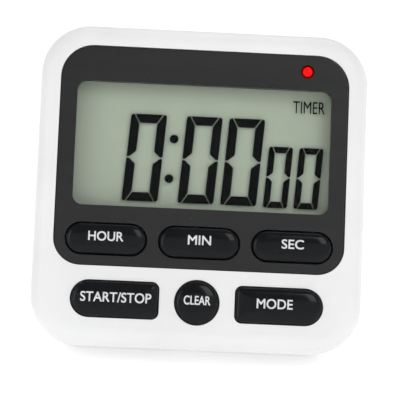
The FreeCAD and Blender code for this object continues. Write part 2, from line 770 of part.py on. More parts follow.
def make_case_screws():
    screws = []
    top = "screw_seat - screw_head_thick"
    for index, (x, y) in enumerate(CASE_SCREWS):
        head = post(f"screw_head_{index}", x, y, top, "screw_seat", "screw_head_radius")
        shank = post(f"screw_shank_{index}", x, y, "screw_seat", "screw_tip - screw_tip_gap", "screw_radius")
        slots = []
        for name, a, b in (("across", "screw_cross_half", "screw_cross_thin"),
                           ("up", "screw_cross_thin", "screw_cross_half")):
            sides = (f"{x} - {a}", f"{x} + {a}", f"{y} - {b}", f"{y} + {b}")
            slots.append(box(f"screw_slot_{name}_{index}", *sides, top, "screw_seat - screw_head_thick / 2"))
        whole = fuse(f"screw_body_{index}", head, shank)
        screws.append(cut(f"screw_{index}", whole, fuse(f"screw_cross_{index}", *slots)))
    piece(group("case_screws", *screws))


def make_face_panel():
    body = new_body("face_panel")
    outline = ("panel_width", "panel_height", "panel_low_corner", "panel_top_corner")
    pad(body, rounded, outline, PANEL_BACK, PANEL_FACE, y="panel_up")
    dress(body, "Fillet", "panel_round", level_edge(PANEL_FACE))
    for sizes in (("panel_width + 2 * flange_side", "flange_long"),
                  ("flange_wide", "panel_height + 2 * flange_high")):
        pad(body, rectangle, sizes, PANEL_BACK, WALL_INSIDE, y="panel_up")
    tray = ("panel_width - 2 * panel_rim", "panel_height - 2 * panel_rim",
            "panel_low_corner - panel_rim", "panel_top_corner - panel_rim")
    pocket(body, rounded, tray, PANEL_BACK, PANEL_INSIDE, y="panel_up")
    window = ("window_width", "window_height", "window_corner")
    pocket(body, rounded, window, PANEL_INSIDE, PANEL_FACE, y="window_up")
    pocket(body, circle, ("lamp_hole",), PANEL_INSIDE, PANEL_FACE, x="lamp_right", y="lamp_up")
    for x in UPPER_KEYS.values():
        pocket(body, stadium, ("upper_hole_length", "upper_hole_height"), PANEL_INSIDE, PANEL_FACE,
               x=x, y="upper_keys_up")
    for x, y in PANEL_POSTS:
        pad(body, circle, ("2 * post_radius",), "board_front", PANEL_BACK, x=x, y=y)
        pocket(body, circle, ("2 * board_screw_radius",), "board_front", BOARD_SCREW_TIP, x=x, y=y)
    piece(body)


# --------------------------------------------------------------------------------------------------------------
# Buttons and their rubber mat
# --------------------------------------------------------------------------------------------------------------


def make_button(name, outline, sizes_with, x, y, stop, top, turn="0"):
    """A hollow cap with a lip that stops it behind the wall, and a plunger that stands on its rubber dome."""
    body = new_body(name)
    lip_back = f"{stop} - key_lip_thick"
    where = {"x": x, "y": y, "turn": turn}
    pad(body, outline, sizes_with("-key_gap"), lip_back, top, **where)
    dress(body, "Fillet", "key_round", level_edge(top))
    pad(body, outline, sizes_with("key_lip - key_gap"), lip_back, stop, **where)
    hollow = f"{top} - key_skin - key_round / 2"
    pocket(body, outline, sizes_with("-key_gap - key_wall"), lip_back, hollow, **where)
    pad(body, circle, ("2 * plunger_radius",), DOME_TOP, f"{top} - key_skin", **where)
    piece(body)


def make_buttons():
    for name, x in UPPER_KEYS.items():
        sizes_with = lambda spare: (f"upper_hole_length + 2 * ({spare})", f"upper_hole_height + 2 * ({spare})")
        make_button(name, stadium, sizes_with, x, "upper_keys_up", PANEL_INSIDE, f"{PANEL_FACE} + key_proud")
    for name, x in LOWER_KEYS.items():
        outline, _, turn = lower_key_outline(name, "0")
        sizes_with = lambda spare, name=name: lower_key_outline(name, spare)[1]
        make_button(name, outline, sizes_with, x, "lower_keys_up", WALL_INSIDE, f"{FACE} + key_proud", turn)


def make_key_mat():
    """One sheet of rubber with a hollow dome under each button, and a carbon pill under each dome's ceiling."""
    low, high = "lower_keys_up - dome_base_radius - mat_edge", "upper_keys_up + dome_base_radius + mat_top_edge"
    web = box("mat_sheet", "-mat_half_width", "mat_half_width", low, high, "board_front",
              "board_front + mat_web")
    domes, hollows = [], []
    for index, (x, y) in enumerate(KEY_CENTRES):
        outside = {"Radius1": "dome_base_radius", "Radius2": "dome_neck_radius",
                   "Height": f"{DOME_TOP} - board_front - mat_web"}
        inside = {"Radius1": "dome_base_radius - dome_wall", "Radius2": "dome_neck_radius - dome_wall",
                  "Height": f"{DOME_CEILING} - board_front"}
        domes.append(primitive("Cone", f"dome_{index}", outside, (x, y, "board_front + mat_web")))
        hollows.append(primitive("Cone", f"dome_hollow_{index}", inside, (x, y, "board_front")))
    piece(cut("key_mat", fuse("mat_solid", web, *domes), fuse("mat_hollows", *hollows)))
    for name, (x, y) in zip([*UPPER_KEYS, *LOWER_KEYS], KEY_CENTRES):
        pill = post(name + "_disc", x, y, f"{DOME_CEILING} - pill_thick", DOME_CEILING, "pill_radius")
        piece(group(name.replace("button", "contact_pill"), pill))


# --------------------------------------------------------------------------------------------------------------
# Display
# --------------------------------------------------------------------------------------------------------------


def make_display():
    lens = new_body("display_lens")
    lens_front = f"{PANEL_INSIDE} - tape_thick"
    lens_size = ("window_width + 2 * lens_margin", "window_height + 2 * lens_margin", "window_corner")
    pad(lens, rounded, lens_size, f"{lens_front} - lens_thick", lens_front, y="window_up")
    piece(lens)
    tape = new_body("lens_tape")
    pad(tape, rounded, lens_size, lens_front, PANEL_INSIDE, y="window_up")
    hole = ("window_width + 2 * tape_margin", "window_height + 2 * tape_margin", "window_corner")
    pocket(tape, rounded, hole, lens_front, PANEL_INSIDE, y="window_up")
    piece(tape)
    glass, film = ("-glass_half_width", "glass_half_width"), ("-film_half_width", "film_half_width")
    polariser_front, film_back = "glass_front + polariser_thick", f"{GLASS_BACK} - reflector_thick"
    sheets = (("lcd_front_polariser", film, "film_low", "film_top", "glass_front", polariser_front),
              ("lcd_front_glass", glass, "glass_low", "glass_top", GLASS_JOINT, "glass_front"),
              ("lcd_rear_glass", glass, "ledge_up", "glass_top", GLASS_BACK, GLASS_JOINT),
              ("lcd_rear_polariser", film, "film_low", "film_top", film_back, GLASS_BACK),
              ("zebra_strip", ("-zebra_half_length", "zebra_half_length"), "zebra_low", "zebra_top",
               "board_front", GLASS_JOINT))
    for name, across, low, high, back, front in sheets:
        piece(group(name, box(name + "_sheet", *across, low, high, back, front)))
    make_lcd_holder()


def make_lcd_holder():
    """A frame that carries the glass by its edges and keeps the rubber connector upright in a slot."""
    through = ("board_front - holder_gap", "holder_front + holder_gap")
    outer = box("holder_outer", "-holder_half_width", "holder_half_width", "holder_low", "holder_top",
                "board_front", "holder_front")
    reach = "(glass_half_width + holder_gap)"
    glass = box("holder_glass", f"-{reach}", reach, "glass_low - holder_gap", "glass_top + holder_gap",
                GLASS_BACK, through[1])
    reach = "(film_half_width + film_gap)"
    film = box("holder_film", f"-{reach}", reach, "film_low - film_gap", "film_top + film_gap",
               f"{GLASS_BACK} - reflector_thick", through[1])
    light = box("holder_light", "-(window_width / 2)", "window_width / 2", "film_low + holder_ledge",
                "film_top - holder_ledge", *through)
    slot = box("holder_slot", "-(zebra_half_length + holder_gap)", "zebra_half_length + holder_gap",
               "zebra_low - holder_gap", "zebra_top + holder_gap", *through)
    piece(cut("lcd_holder", outer, fuse("holder_cutters", glass, film, light, slot)))


# --------------------------------------------------------------------------------------------------------------
# Circuit board and what is soldered to it
# --------------------------------------------------------------------------------------------------------------


def make_board():
    blank = box("board_blank", "-board_half_width", "board_half_width", "board_low", "board_top", BOARD_BACK,
                "board_front")
    holes = []
    for index, (x, y) in enumerate(CASE_SCREWS):
        x_room, y_room = notch_room(x), notch_room(y)
        holes.append(box(f"board_notch_{index}", *x_room, *y_room, "parting", "board_front + 1"))
    for index, (x, y) in enumerate(BOARD_SCREWS):
        holes.append(post(f"board_hole_{index}", x, y, "parting", "board_front + 1", "board_screw_hole"))
    for index, x in enumerate(LEADS):
        holes.append(post(f"lead_hole_{index}", x, "lamp_up", "parting", "board_front + 1", "lead_hole"))
    piece(cut("circuit_board", blank, fuse("board_cutters", *holes)))
    screws = []
    for index, (x, y) in enumerate(BOARD_SCREWS):
        head = post(f"board_screw_head_{index}", x, y, f"{BOARD_BACK} - board_screw_cap", BOARD_BACK,
                    "board_screw_head")
        shank = post(f"board_screw_shank_{index}", x, y, BOARD_BACK, f"{BOARD_SCREW_TIP} - board_screw_gap",
                     "board_screw_radius")
        screws.append(fuse(f"board_screw_{index}", head, shank))
    piece(group("board_screws", *screws))


def notch_room(middle):
    """From inside a screw boss to past the board's edge, to the left or right, or down or up."""
    inside, outside = "(screw_boss + notch_gap)", "2 * screw_boss"
    if middle.startswith("-"):
        return f"{middle} - {outside}", f"{middle} + {inside}"
    return f"{middle} - {inside}", f"{middle} + {outside}"


LEADS = ("lamp_right - lead_side", "lamp_right + lead_side")
BOARD_SCREWS = PANEL_POSTS + CASE_POSTS


def make_alarm_lamp():
    """A 3 mm lamp on two leads, standing in the panel's hole."""
    middle = f"({PANEL_FACE} + lamp_proud - lamp_radius)"
    foot = post("lamp_foot", "lamp_right", "lamp_up", "lamp_foot_low", "lamp_foot_top", "lamp_foot_radius")
    barrel = post("lamp_barrel", "lamp_right", "lamp_up", "lamp_foot_top", middle, "lamp_radius")
    dome = primitive("Sphere", "lamp_dome", {"Radius": "lamp_radius"}, ("lamp_right", "lamp_up", middle))
    piece(fuse("alarm_led", foot, barrel, dome))
    wires = [post(f"lead_{index}", x, "lamp_up", f"{BOARD_BACK} - lead_stub", "lamp_foot_low", "lead_radius")
             for index, x in enumerate(LEADS)]
    piece(group("led_leads", *wires))


RESISTOR_PLACES = ((20.5, 1.0), (20.5, -1.6), (20.5, -4.2), (-18.5, 14.0), (-21.5, 14.0), (-24.5, 14.0))
CAPACITOR_PLACES = ((-18.5, -8.0), (-18.5, -10.6), (26.5, -1.6), (29.8, -1.6))


def standing(label, x, y, high, radius):
    """A round component that stands off the back of the board."""
    return post(label, x, y, f"{BOARD_BACK} - {high}", BOARD_BACK, radius)


def make_components():
    """The parts on the back of the board, each standing off it towards the rear."""
    x, y = -24.0, 2.0
    radii = {"Radius1": "blob_rise", "Radius2": "blob_radius", "Radius3": "blob_radius"}
    blob = primitive("Ellipsoid", "blob", radii, (x, y, BOARD_BACK))
    lid = box("blob_lid", f"{x} - 2 * blob_radius", f"{x} + 2 * blob_radius", f"{y} - 2 * blob_radius",
              f"{y} + 2 * blob_radius", BOARD_BACK, "board_front + blob_rise")
    piece(cut("chip_blob", blob, lid))
    can = primitive("Cylinder", "crystal_barrel", {"Radius": "can_radius", "Height": "can_long"},
                    ("-27", "-8.5", f"{BOARD_BACK} - can_radius"), (Y_AXIS, 90))
    piece(group("crystal_can", can))
    for name, places, high in (("smd_resistors", RESISTOR_PLACES, "resistor_high"),
                               ("smd_capacitors", CAPACITOR_PLACES, "capacitor_high")):
        blocks = []
        for index, (x, y) in enumerate(places):
            sides = (f"{x} - chip_half_long", f"{x} + chip_half_long", f"{y} - chip_half_wide",
                     f"{y} + chip_half_wide")
            blocks.append(box(f"{name}_{index}", *sides, f"{BOARD_BACK} - {high}", BOARD_BACK))
        piece(group(name, *blocks))
    piece(group("electrolytic_capacitor", standing("capacitor_can", "31.5", "5", "tall_high", "tall_radius")))
    x, y = 26.0, 3.5
    round_case = standing("transistor_round", x, y, "transistor_high", "transistor_radius")
    flat_side = box("transistor_side", f"{x} - transistor_high", f"{x} + transistor_high",
                    f"{y} + transistor_flat", f"{y} + transistor_high", "wall", "board_front")
    piece(cut("drive_transistor", round_case, flat_side))
    x, y = -29.0, -22.0
    low_end = post("drum_end_low", x, y, f"{BOARD_BACK} - drum_high", f"{BOARD_BACK} - drum_high + drum_flange",
                   "drum_radius")
    top_end = standing("drum_end_top", x, y, "drum_flange", "drum_radius")
    core = standing("drum_core_post", x, y, "drum_high", "drum_core")
    piece(fuse("buzzer_inductor", low_end, top_end, core))


# --------------------------------------------------------------------------------------------------------------
# Buzzer
# --------------------------------------------------------------------------------------------------------------


def rounded_path(points, radius):
    """Straight runs through the points, with an arc of the radius at each turn."""
    edges, start = [], points[0]
    for before, corner, after in zip(points, points[1:], points[2:]):
        way_in, way_out = (corner - before).normalize(), (after - corner).normalize()
        turn = way_in.getAngle(way_out)
        back = radius * math.tan(turn / 2)
        enter, leave = corner - way_in * back, corner + way_out * back
        inward = (way_out - way_in).normalize()
        middle = corner + inward * (radius / math.cos(turn / 2) - radius)
        edges += [Part.LineSegment(start, enter).toShape(), Part.Arc(enter, middle, leave).toShape()]
        start = leave
    edges.append(Part.LineSegment(start, points[-1]).toShape())
    return Part.Wire(edges)


def make_buzzer():
    piece(group("piezo_plate", post("piezo_disc", "buzzer_right", "buzzer_up", "buzzer_seat",
                                    "buzzer_seat + buzzer_thick", "buzzer_radius")))
    piece(group("piezo_ceramic", post("piezo_layer", "buzzer_right", "buzzer_up", "buzzer_seat + buzzer_thick",
                                      "buzzer_seat + 2 * buzzer_thick", "ceramic_radius")))
    x, y, disc = number("buzzer_right"), number("buzzer_up"), number("buzzer_seat + buzzer_thick")
    rise, run, shift = number("wire_rise"), number("wire_run"), number("wire_shift")
    for name, across, base in (("buzzer_wire_red", -3.0, disc + number("buzzer_thick")),
                               ("buzzer_wire_black", 6.6, disc)):
        points = [Vector(x + across, y, base), Vector(x + across, y, base + rise),
                  Vector(x + across / 2, y - shift, base + rise + run),
                  Vector(x + across / 2, y - shift, number(BOARD_BACK))]
        path = rounded_path(points, number("wire_bend"))
        profile = Part.Wire(Part.Circle(points[0], Z_AXIS, number("wire_radius")).toShape())
        piece(shaped(name, path.makePipeShell([profile], True, False)))


# --------------------------------------------------------------------------------------------------------------
# Cells, contacts and battery door
# --------------------------------------------------------------------------------------------------------------


def make_cells():
    """Two AAA cells side by side, the left one with its nub up and the right one with its nub down."""
    body_long, edge = "cell_length - cell_nub", number("cell_edge")
    for name, x, way in (("battery_cell_1", "-cell_side", -1), ("battery_cell_2", "cell_side", 1)):
        nub_end = "bay_top - contact_thick" if way < 0 else "bay_low + contact_thick"
        body_end = f"{nub_end} + {way} * cell_nub"
        turn = (X_AXIS, 90) if way < 0 else (X_AXIS, -90)
        can = primitive("Cylinder", name + "_can", {"Radius": "cell_radius", "Height": body_long},
                        (x, body_end, "cell_centre"), turn)
        rim = doc.addObject("Part::Fillet", name + "_edges")
        doc.recompute()
        rim.Base = can
        rim.Edges = [(n + 1, edge, edge) for n, line_of_can in enumerate(can.Shape.Edges)
                     if line_of_can.Closed and isinstance(line_of_can.Curve, Part.Circle)]
        nub_size = {"Radius": "cell_nub_radius", "Height": "cell_nub + cell_edge"}
        nub = primitive("Cylinder", name + "_nub", nub_size, (x, nub_end, "cell_centre"), turn)
        piece(fuse(name, rim, nub))


def coil_spring(name, x, plate, way):
    """The turns of a tapering coil between its plate and a cell's flat end; way is 1 up or -1 down."""
    turns, taper = 5, 0.2
    free = "(bay_top - bay_low - 2 * contact_thick - cell_length)"
    step = f"(({free} - 2 * spring_wire) / {turns - 1})"
    rings = []
    for turn in range(turns):
        sizes = {"Radius1": f"spring_radius - {taper * turn}", "Radius2": "spring_wire"}
        height = f"{plate} + {way} * (spring_wire + {turn} * {step})"
        rings.append(primitive("Torus", f"{name}_turn_{turn}", sizes, (x, height, "cell_centre"), (X_AXIS, 90)))
    return rings


def contact_plate(name, x_low, x_high, low):
    """A flat contact against an end of the bay, with a tab that runs through the roof to the board."""
    tab_middle = f"(({x_low}) + ({x_high})) / 2"
    face = box(name + "_face", x_low, x_high, low, f"{low} + contact_thick", "contact_low", "contact_high")
    tab = box(name + "_tab", f"{tab_middle} - tab_half_width", f"{tab_middle} + tab_half_width", low,
              f"{low} + contact_thick", "contact_high", BOARD_BACK)
    return fuse(name, face, tab)


def make_contacts():
    reach = "contact_half_width"
    top, low = "(bay_top - contact_thick)", "bay_low"
    left = (f"-cell_side - {reach}", f"-cell_side + {reach}")
    right = (f"cell_side - {reach}", f"cell_side + {reach}")
    piece(group("positive_contact", contact_plate("positive_plate", *left, top)))
    negative = contact_plate("negative_plate", *right, top)
    piece(group("negative_contact_spring", negative, *coil_spring("negative", "cell_side", top, -1)))
    bridge = box("bridge_plate", left[0], right[1], low, f"{low} + contact_thick", "contact_low",
                 "contact_high")
    piece(group("bridge_contact", bridge, *coil_spring("bridge", "-cell_side", f"{low} + contact_thick", 1)))


def make_battery_door():
    """A flat door that turns on a round lower edge with a pin at each end, and has a thumb scoop at the top."""
    low = "door_hinge_up"
    plate = box("door_plate", "-door_half_width", "door_half_width", low, "door_top", "door_sink", DOOR_SEAT)
    knuckle = primitive("Cylinder", "door_round", {"Radius": "door_knuckle", "Height": "2 * door_half_width"},
                        ("-door_half_width", low, DOOR_AXIS), (Y_AXIS, 90))
    pin_half = "(door_half_width + door_pin_long)"
    pins = primitive("Cylinder", "door_pins", {"Radius": "door_pin_radius", "Height": f"2 * {pin_half}"},
                     (f"-{pin_half}", low, DOOR_AXIS), (Y_AXIS, 90))
    outer, inner = "(bay_half_width - 2 * stand_gap)", "(bay_half_width - 2 * stand_gap - 2 * door_rib_high)"
    ribs = [box(f"door_rib_{name}", x_low, x_high, f"{low} + stand_corner", "bay_top - door_rib_high",
                DOOR_SEAT, f"{DOOR_SEAT} + door_rib_high")
            for name, x_low, x_high in (("left", f"-{outer}", f"-{inner}"), ("right", inner, outer))]
    solid = fuse("door_solid", plate, knuckle, pins, *ribs)
    scoop = {"Radius": "thumb_radius", "Height": "thumb_long"}
    thumb = primitive("Cylinder", "thumb_scoop", scoop, ("0", "door_top - thumb_long + 1",
                      "thumb_depth - thumb_radius"), (X_AXIS, -90))
    piece(cut("battery_door", solid, thumb))


# --------------------------------------------------------------------------------------------------------------
# Stand, magnets and alarm switch
# --------------------------------------------------------------------------------------------------------------


def table_level():
    """The height of the table above the case's middle, measured square to the table, when the timer leans."""
    lean, fillet = math.radians(number("lean")), number("rear_round")
    centre_up = -number("case_height") / 2 + fillet
    return centre_up * math.cos(lean) + fillet * math.sin(lean) - fillet


def hinge_turn(angle):
    """The turn of the stand about its hinge, in degrees from folded."""
    hinge = Vector(0, number("stand_hinge_up"), number("stand_hinge_in"))
    return FreeCAD.Placement(Vector(0, 0, 0), FreeCAD.Rotation(X_AXIS, angle), hinge)


def make_kickstand():
    """A U of plastic: two arms and a bar, with a pin on each arm and a foot cut level with the table."""
    body = new_body("kickstand")
    back, front = "stand_hinge_in - stand_thick / 2", "stand_hinge_in + stand_thick / 2"
    end, top = STAND_END, STAND_TOP
    outline = ("2 * stand_half_width", f"{top} - {end}", "stand_corner", "stand_tip_corner")
    pad(body, rounded, outline, back, front, y=f"({top} + {end}) / 2")
    inner_low, inner_top = f"{end} + stand_bar", f"{top} + stand_corner"
    gap = ("2 * (stand_half_width - stand_arm)", f"{inner_top} - ({inner_low})", "stand_corner / 2")
    pocket(body, rounded, gap, back, front, y=f"({inner_top} + {inner_low}) / 2")
    dress(body, "Fillet", "stand_edge", level_edge(back))
    reach = "(stand_half_width + stand_pin_long)"
    pins = primitive("Cylinder", "stand_pins", {"Radius": "stand_pin_radius", "Height": f"2 * {reach}"},
                     (f"-{reach}", "stand_hinge_up", "stand_hinge_in"), (Y_AXIS, 90))
    middle = "(stand_half_width - stand_arm / 2)"
    between = box("stand_between", f"-{middle}", middle, "stand_hinge_up - stand_heel", STAND_TOP, "-1",
                  "bay_roof")
    whole = fuse("stand_whole", body, cut("stand_pin_ends", pins, between))
    across, deep, long = number("3 * stand_half_width"), 20.0, 80.0
    below = primitive("Box", "below_table", {"Length": across, "Width": deep, "Height": long}, at=())
    table = FreeCAD.Placement(Vector(0, 0, 0), FreeCAD.Rotation(X_AXIS, number("lean")))
    table *= FreeCAD.Placement(Vector(-across / 2, table_level() - deep, -0.75 * long), FreeCAD.Rotation())
    below.Placement = hinge_turn(-number("stand_angle")) * table
    return piece(cut("kickstand_cut", whole, below))


def make_magnets():
    for name, side in (("magnet_left", "-"), ("magnet_right", "")):
        disc = post(name + "_disc", side + "magnet_side", "magnet_up", "-magnet_proud",
                    "magnet_thick - magnet_proud", "magnet_radius")
        edged = doc.addObject("Part::Chamfer", name)
        doc.recompute()
        edged.Base = disc
        low = [n + 1 for n, edge in enumerate(disc.Shape.Edges) if edge.BoundBox.ZMax < 0 and edge.Closed]
        bevel = number("magnet_bevel")
        edged.Edges = [(n, bevel, bevel) for n in low]
        piece(group(name + "_piece", edged))


def make_switch():
    """A slide switch on the board's right edge, with a ribbed knob in the case's side window."""
    outside, slot_in = "(case_width / 2 - wall - 2 * window_gap)", "(case_width / 2 - 2 * wall + window_gap)"
    shell = box("switch_case", f"{outside} - switch_deep", outside, "switch_up - switch_shell",
                "switch_up + switch_shell", "board_front", "board_front + switch_thick")
    half = "(switch_knob / 2 + switch_travel / 2 + knob_gap)"
    slot = box("switch_slot", slot_in, "case_width / 2", f"switch_up - {half}", f"switch_up + {half}",
               "knob_low - knob_gap", "knob_high + knob_gap")
    piece(cut("alarm_switch_body", shell, slot))
    centre, tip = "(switch_up - switch_travel / 2)", "(case_width / 2 - knob_sink)"
    stem = box("knob_stem", f"{slot_in} + knob_gap", tip, f"{centre} - switch_knob / 2",
               f"{centre} + switch_knob / 2", "knob_low", "knob_high")
    grooves = []
    for n in (-1, 0, 1):
        middle = f"({centre} + ({n}) * knob_groove_pitch)"
        grooves.append(box(f"knob_groove_{n}", f"{tip} - knob_groove", "case_width / 2",
                           f"{middle} - knob_groove / 2", f"{middle} + knob_groove / 2", "parting", FACE))
    piece(cut("alarm_switch_knob", stem, fuse("knob_grooves", *grooves)))


# --------------------------------------------------------------------------------------------------------------
# Putting it all together
# --------------------------------------------------------------------------------------------------------------


def standing_placement():
    """Leans the timer back on its stand and puts the origin on the table, under the middle of the whole."""
    tilt = FreeCAD.Placement(Vector(0, 0, 0), FreeCAD.Rotation(X_AXIS, 90 - number("lean")))
    spans = []
    for solid in pieces:
        shape = solid.Shape.copy()
        shape.Placement = tilt * rest_turn(solid) * shape.Placement
        extent = shape.optimalBoundingBox(False, False)
        spans += [extent.YMin, extent.YMax]
    shift = Vector(0, -(min(spans) + max(spans)) / 2, -table_level())
    return FreeCAD.Placement(shift, FreeCAD.Rotation()) * tilt


def rest_turn(solid):
    """The stand rests open; every other piece rests as it was modelled."""
    return hinge_turn(number("stand_angle")) if solid.Label == "kickstand" else FreeCAD.Placement()


def settle_labels():
    """Gives each finished piece its own name as its label, and its ingredients other ones."""
    final = {"front_case_shell": "front_case", "rear_case_shell": "rear_case", "kickstand_cut": "kickstand",
             "magnet_left_piece": "magnet_left", "magnet_right_piece": "magnet_right"}
    for old, new in final.items():
        doc.getObject(new).Label = new + "_blank"
        doc.getObject(old).Label = new


def check_document():
    for item in doc.Objects:
        if {"Invalid", "Error"} & set(item.State):
            raise RuntimeError(f"{item.Label}: {item.State}")
    for solid in pieces:
        if solid.Shape.isNull() or not solid.Shape.isValid():
            raise RuntimeError(f"{solid.Label} has no valid shape")


make_front_case()
make_rear_case()
make_case_screws()
make_face_panel()
make_buttons()
make_key_mat()
make_display()
make_board()
make_alarm_lamp()
make_components()
make_buzzer()
make_cells()
make_contacts()
make_battery_door()
make_kickstand()
make_magnets()
make_switch()

doc.recompute()
settle_labels()
check_document()
standing_up = standing_placement()
for solid in pieces:
    solid.Placement = standing_up * rest_turn(solid) * solid.Placement
doc.recompute()
check_document()

os.makedirs("parts", exist_ok=True)
for solid in pieces:
    solid.Shape.exportStep(f"parts/{solid.Label}.step")
    print(f"{solid.Label}: {solid.Shape.Volume:.2f} mm3 in {len(solid.Shape.Solids)} solid(s)")
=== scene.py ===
"""A white kitchen timer with a black face panel, standing on its open stand on a pale studio floor.

Lengths in the named values are millimetres. Every new piece is worked out in the case's own axes, as if the
timer lay on its back: right across the face, up the face, and out through the face, counted from the middle
of the rear face. in_room() turns such points into the room's metres, where the timer leans on its stand.
"""

import json
import math

import bmesh
import bpy
import numpy as np
from mathutils import Euler, Matrix, Vector


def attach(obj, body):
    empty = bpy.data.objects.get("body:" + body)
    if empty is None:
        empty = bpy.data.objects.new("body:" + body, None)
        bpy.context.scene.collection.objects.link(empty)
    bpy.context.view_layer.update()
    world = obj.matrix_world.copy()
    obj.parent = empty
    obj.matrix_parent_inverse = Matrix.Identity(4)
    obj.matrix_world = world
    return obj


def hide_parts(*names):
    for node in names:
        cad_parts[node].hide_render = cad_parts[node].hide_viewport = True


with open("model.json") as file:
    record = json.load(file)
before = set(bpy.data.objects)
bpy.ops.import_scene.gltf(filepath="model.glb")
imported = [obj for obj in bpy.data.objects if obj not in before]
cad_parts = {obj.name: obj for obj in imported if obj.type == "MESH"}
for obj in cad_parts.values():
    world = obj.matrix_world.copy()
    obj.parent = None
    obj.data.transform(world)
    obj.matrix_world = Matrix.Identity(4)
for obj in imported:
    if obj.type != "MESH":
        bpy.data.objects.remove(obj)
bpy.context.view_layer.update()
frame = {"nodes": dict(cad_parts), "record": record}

# ------------------------------------------------------------------------------------------------------------
# The case's axes, and the sizes that the new pieces share with the frame
# ------------------------------------------------------------------------------------------------------------

MM = 0.001
JOINTS = {joint["name"]: joint for joint in frame["record"]["behaviour"]["joints"]}
MOUNTS = {mount["name"]: mount for mount in frame["record"]["mounts"]}
OUT = -np.array(JOINTS["clear_press"]["axis"])
UP = np.array(JOINTS["alarm_switch_slide"]["axis"])
RIGHT = np.cross(UP, OUT)
AXES = np.array([RIGHT, UP, OUT])

MAGNET_UP, MAGNET_PROUD = -12.0, 0.15
magnets_middle = (np.array(MOUNTS["magnet_left_face"]["pos_m"]) + MOUNTS["magnet_right_face"]["pos_m"]) / 2
CASE_ORIGIN = magnets_middle - MM * (MAGNET_UP * UP - MAGNET_PROUD * OUT)


def in_room(points):
    """Case points in millimetres, any array whose last axis is (right, up, out), as room points in metres."""
    return CASE_ORIGIN + MM * np.asarray(points) @ AXES


def coordinates(mesh):
    """A mesh's vertices as an array, one row for each."""
    flat = np.empty(len(mesh.vertices) * 3)
    mesh.vertices.foreach_get("co", flat)
    return flat.reshape(-1, 3)


def case_extent(node):
    """The lowest and highest case coordinates, in millimetres, that a node's vertices reach."""
    case = (coordinates(frame["nodes"][node].data) - CASE_ORIGIN) @ AXES.T / MM
    return case.min(axis=0), case.max(axis=0)


PANEL_FACE = case_extent("face_panel")[1][2]
PANEL_CENTRE_UP = 6.85
INK_LEVEL = case_extent("lcd_front_glass")[0][2]

# ------------------------------------------------------------------------------------------------------------
# Meshes
# ------------------------------------------------------------------------------------------------------------


def new_object(name, mesh, material, body=None, sharp=40.0):
    """Links the mesh, shades it smooth except at corners sharper than the angle, and rides it on its body."""
    made = bpy.data.objects.new(name, mesh)
    bpy.context.scene.collection.objects.link(made)
    mesh.materials.append(material)
    mesh.shade_smooth()
    mesh.set_sharp_from_angle(angle=math.radians(sharp))
    if body:
        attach(made, body)
    return made


def merged(mesh):
    """Closes seams and poles, and turns every face outwards."""
    work = bmesh.new()
    work.from_mesh(mesh)
    bmesh.ops.remove_doubles(work, verts=work.verts, dist=2e-7)
    bmesh.ops.dissolve_degenerate(work, edges=work.edges, dist=2e-7)
    bmesh.ops.recalc_face_normals(work, faces=work.faces)
    work.to_mesh(mesh)
    work.free()
    return mesh


def skin(name, points, closed=True):
    """A mesh over a grid of case points, (rings, points in a ring, 3); each ring is closed if asked."""
    rings, count = points.shape[:2]
    index = np.arange(rings * count).reshape(rings, count)
    following = np.roll(index, -1, axis=1) if closed else index[:, 1:]
    index = index if closed else index[:, :-1]
    quads = np.stack([index[:-1], following[:-1], following[1:], index[1:]], axis=-1).reshape(-1, 4)
    mesh = bpy.data.meshes.new(name)
    mesh.from_pydata(in_room(points).reshape(-1, 3).tolist(), [], quads.tolist())
    return merged(mesh)


def joined(name, meshes):
    """Several meshes as one."""
    work = bmesh.new()
    for mesh in meshes:
        work.from_mesh(mesh)
    whole = bpy.data.meshes.new(name)
    work.to_mesh(whole)
    work.free()
    return whole


def arc_outline(arcs, straight=10, turn=14):
    """A closed outline through arcs (x, y, radius, start, end in degrees), with straight runs between."""
    stretches = []
    for (x, y, radius, start, end), following in zip(arcs, arcs[1:] + arcs[:1]):
        angle = np.radians(np.linspace(start, end, turn))
        curve = np.stack([x + radius * np.cos(angle), y + radius * np.sin(angle)], axis=-1)
        goal_angle = math.radians(following[3])
        goal = np.array([following[0] + following[2] * math.cos(goal_angle),
                         following[1] + following[2] * math.sin(goal_angle)])
        run = curve[-1] + (goal - curve[-1]) * np.linspace(0, 1, straight + 1)[1:-1, None]
        stretches += [curve, run]
    return np.concatenate(stretches)


def tube(name, line, radius, around=12):
    """A round tube along a line of case points: a ring stands square to the line at each point."""
    along = np.gradient(line, axis=0)
    along /= np.linalg.norm(along, axis=1, keepdims=True)
    side = np.cross(along, [0.0, 0.0, 1.0])
    side[np.linalg.norm(side, axis=1) < 1e-3] = [1.0, 0.0, 0.0]
    side /= np.linalg.norm(side, axis=1, keepdims=True)
    lift = np.cross(side, along)
    angle = np.linspace(0, 2 * np.pi, around, endpoint=False)
    ring = np.cos(angle)[None, :, None] * side[:, None] + np.sin(angle)[None, :, None] * lift[:, None]
    points = line[:, None] + radius * ring
    ends = [np.repeat(line[:1, None], around, axis=1), np.repeat(line[-1:, None], around, axis=1)]
    return skin(name, np.concatenate([ends[0], points, ends[1]]))


def prism(name, outline, low, high):
    """A flat plate between two levels over a star-shaped outline, closed to its middle."""
    centre = outline.mean(axis=0)
    rings = [(0.0, low), (1.0, low), (1.0, high), (0.0, high)]
    points = [np.column_stack([centre + reach * (outline - centre), np.full(len(outline), level)])
              for reach, level in rings]
    return skin(name, np.array(points))


# ------------------------------------------------------------------------------------------------------------
# Materials
# ------------------------------------------------------------------------------------------------------------


